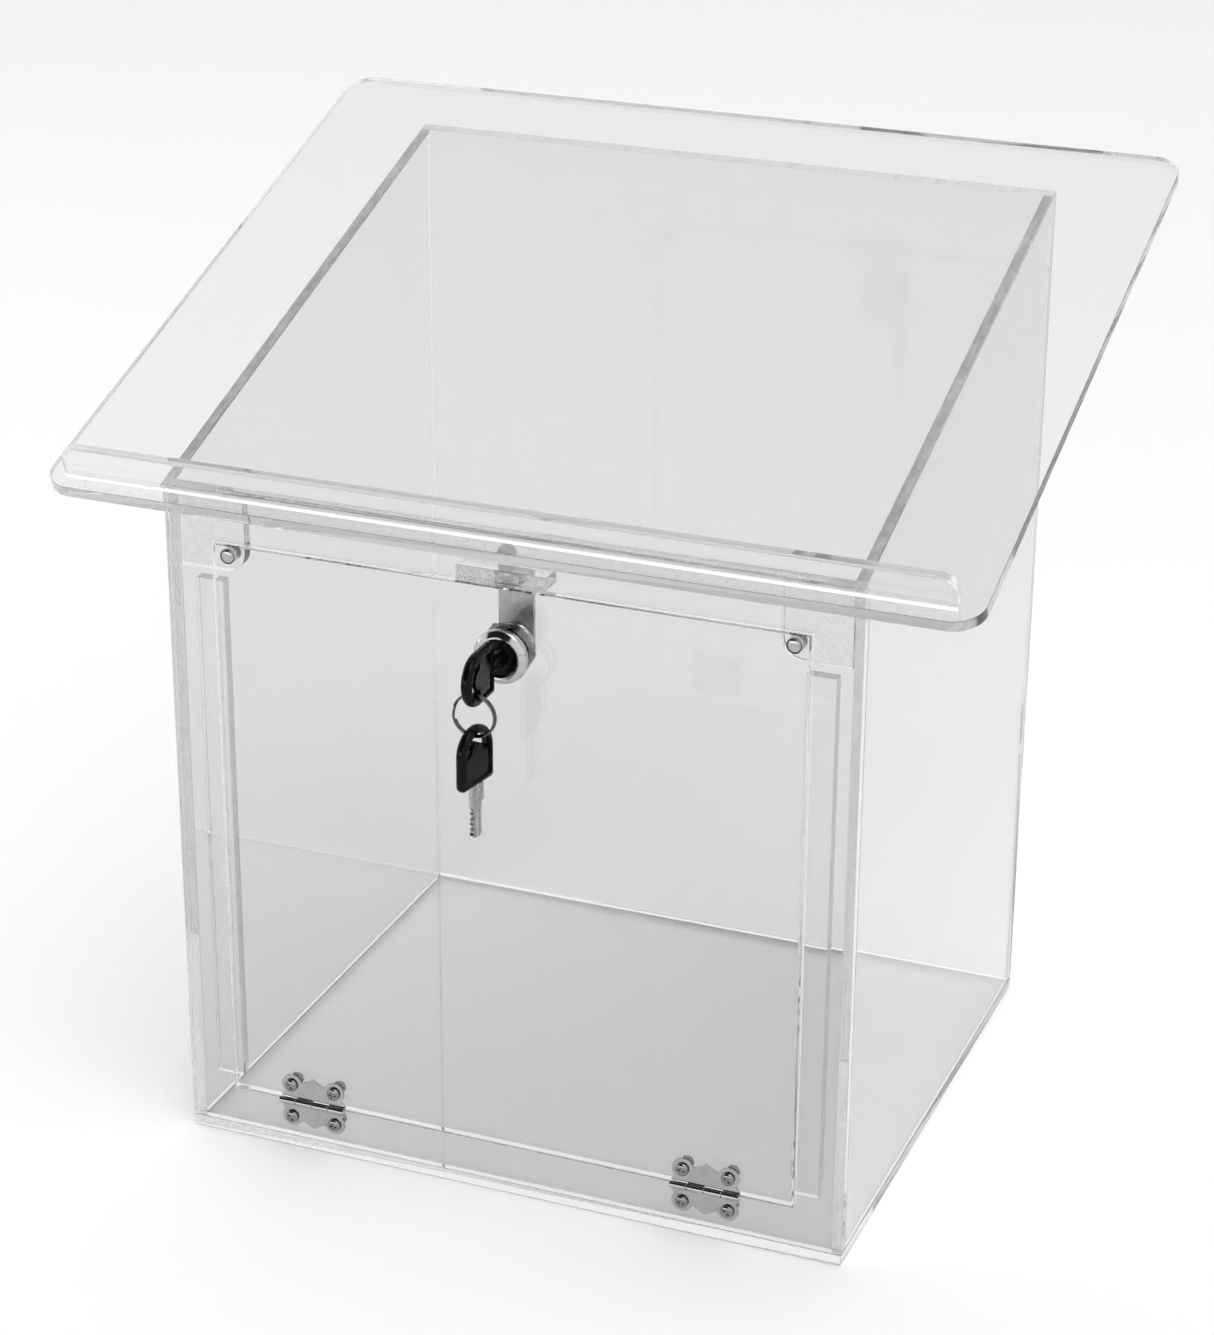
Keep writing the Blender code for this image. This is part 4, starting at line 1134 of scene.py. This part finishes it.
def build_world():
    """A white tent, a little dimmer overhead, with one dark opening above and in front of the box."""
    world = bpy.data.worlds.new("studio")
    bpy.context.scene.world = world
    world.use_nodes = True
    tree = world.node_tree
    background = tree.nodes["Background"]
    direction = tree.nodes.new("ShaderNodeTexCoord").outputs["Generated"]
    facing = tree.nodes.new("ShaderNodeVectorMath")
    facing.operation = "DOT_PRODUCT"
    facing.inputs[1].default_value = DARK_OPENING
    tree.links.new(direction, facing.inputs[0])
    ramp = tree.nodes.new("ShaderNodeValToRGB")
    tree.links.new(facing.outputs["Value"], ramp.inputs["Fac"])
    ramp.color_ramp.elements[0].position = OPENING_EDGE[0]
    ramp.color_ramp.elements[0].color = (1, 1, 1, 1)
    ramp.color_ramp.elements[1].position = OPENING_EDGE[1]
    ramp.color_ramp.elements[1].color = (0.02, 0.02, 0.021, 1)
    height = tree.nodes.new("ShaderNodeSeparateXYZ")
    tree.links.new(direction, height.inputs[0])
    sky = tree.nodes.new("ShaderNodeMapRange")
    sky.inputs["From Min"].default_value = SKY_HEIGHTS[0]
    sky.inputs["From Max"].default_value = SKY_HEIGHTS[1]
    sky.inputs["To Min"].default_value = SKY_STRENGTHS[0]
    sky.inputs["To Max"].default_value = SKY_STRENGTHS[1]
    tree.links.new(height.outputs["Z"], sky.inputs["Value"])
    tree.links.new(sky.outputs[0], background.inputs["Strength"])
    tree.links.new(ramp.outputs[0], background.inputs["Color"])


def build_light(name, place, aim, size, power):
    data = bpy.data.lights.new(name, "AREA")
    data.shape = "RECTANGLE"
    data.size, data.size_y = size
    data.energy = power
    light = bpy.data.objects.new(name, data)
    bpy.context.scene.collection.objects.link(light)
    direction = Vector(aim) - Vector(place)
    turn = direction.to_track_quat("-Z", "Y").to_matrix().to_4x4()
    light.matrix_world = Matrix.Translation(place) @ turn


def build_floor():
    bm = bmesh.new()
    bmesh.ops.create_circle(bm, cap_ends=True, segments=96, radius=FLOOR_RADIUS)
    mesh = bpy.data.meshes.new("studio_floor")
    bm.to_mesh(mesh)
    bm.free()
    floor = bpy.data.objects.new("studio_floor", mesh)
    floor.location.z = -FLOOR_DROP
    bpy.context.scene.collection.objects.link(floor)
    paint = bpy.data.materials.new("pale_floor")
    paint.use_nodes = True
    shader = paint.node_tree.nodes["Principled BSDF"]
    shader.inputs["Base Color"].default_value = (0.93, 0.93, 0.93, 1)
    shader.inputs["Roughness"].default_value = 0.8
    shader.inputs["Specular IOR Level"].default_value = 0.1
    mesh.materials.append(paint)


def build_studio():
    build_camera()
    build_world()
    build_floor()
    build_light("overhead", (0.9, -0.8, 2.6), (0, -0.1, 0), (1.6, 1.8), 15)
    build_light("left_softbox", (-2.2, 0.1, 0.8), (0, 0, 0.2), (0.7, 1.2), 4)
    build_light("front_strip", (-0.9, -2.6, 0.35), (-0.1, -0.13, 0.1), (2.4, 0.5), 7)
    scene = bpy.context.scene
    scene.view_settings.view_transform = "Standard"
    scene.view_settings.exposure = 0.4
    scene.cycles.blur_glossy = 0.0
    scene.cycles.max_bounces = BOUNCES
    scene.cycles.transmission_bounces = BOUNCES
    scene.cycles.glossy_bounces = BOUNCES
    scene.cycles.transparent_max_bounces = 64


build_studio()
build_sheets()
build_wall_seams()
build_top_seams()
build_fitting_seams()
for word in ("left", "right"):
    build_hinge(word)
    build_magnet(f"door_magnet_{word}", "door", MAGNET)
    # The frame magnet wears the darkened copy of the plating: painted shade behind the door
    build_magnet(f"frame_magnet_{word}", "case", MAGNET_SHADED)
build_lock()
build_key("key", "key", Matrix.Translation(LOCK_PLACE) @ EDGE_ON)
spare_place = middle("spare_key_bow")
spare_place.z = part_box("spare_key_bow")[1].z - BOW_FAR
build_key("spare_key", "spare_key", Matrix.Translation(spare_place) @ HANGING)
build_ring()
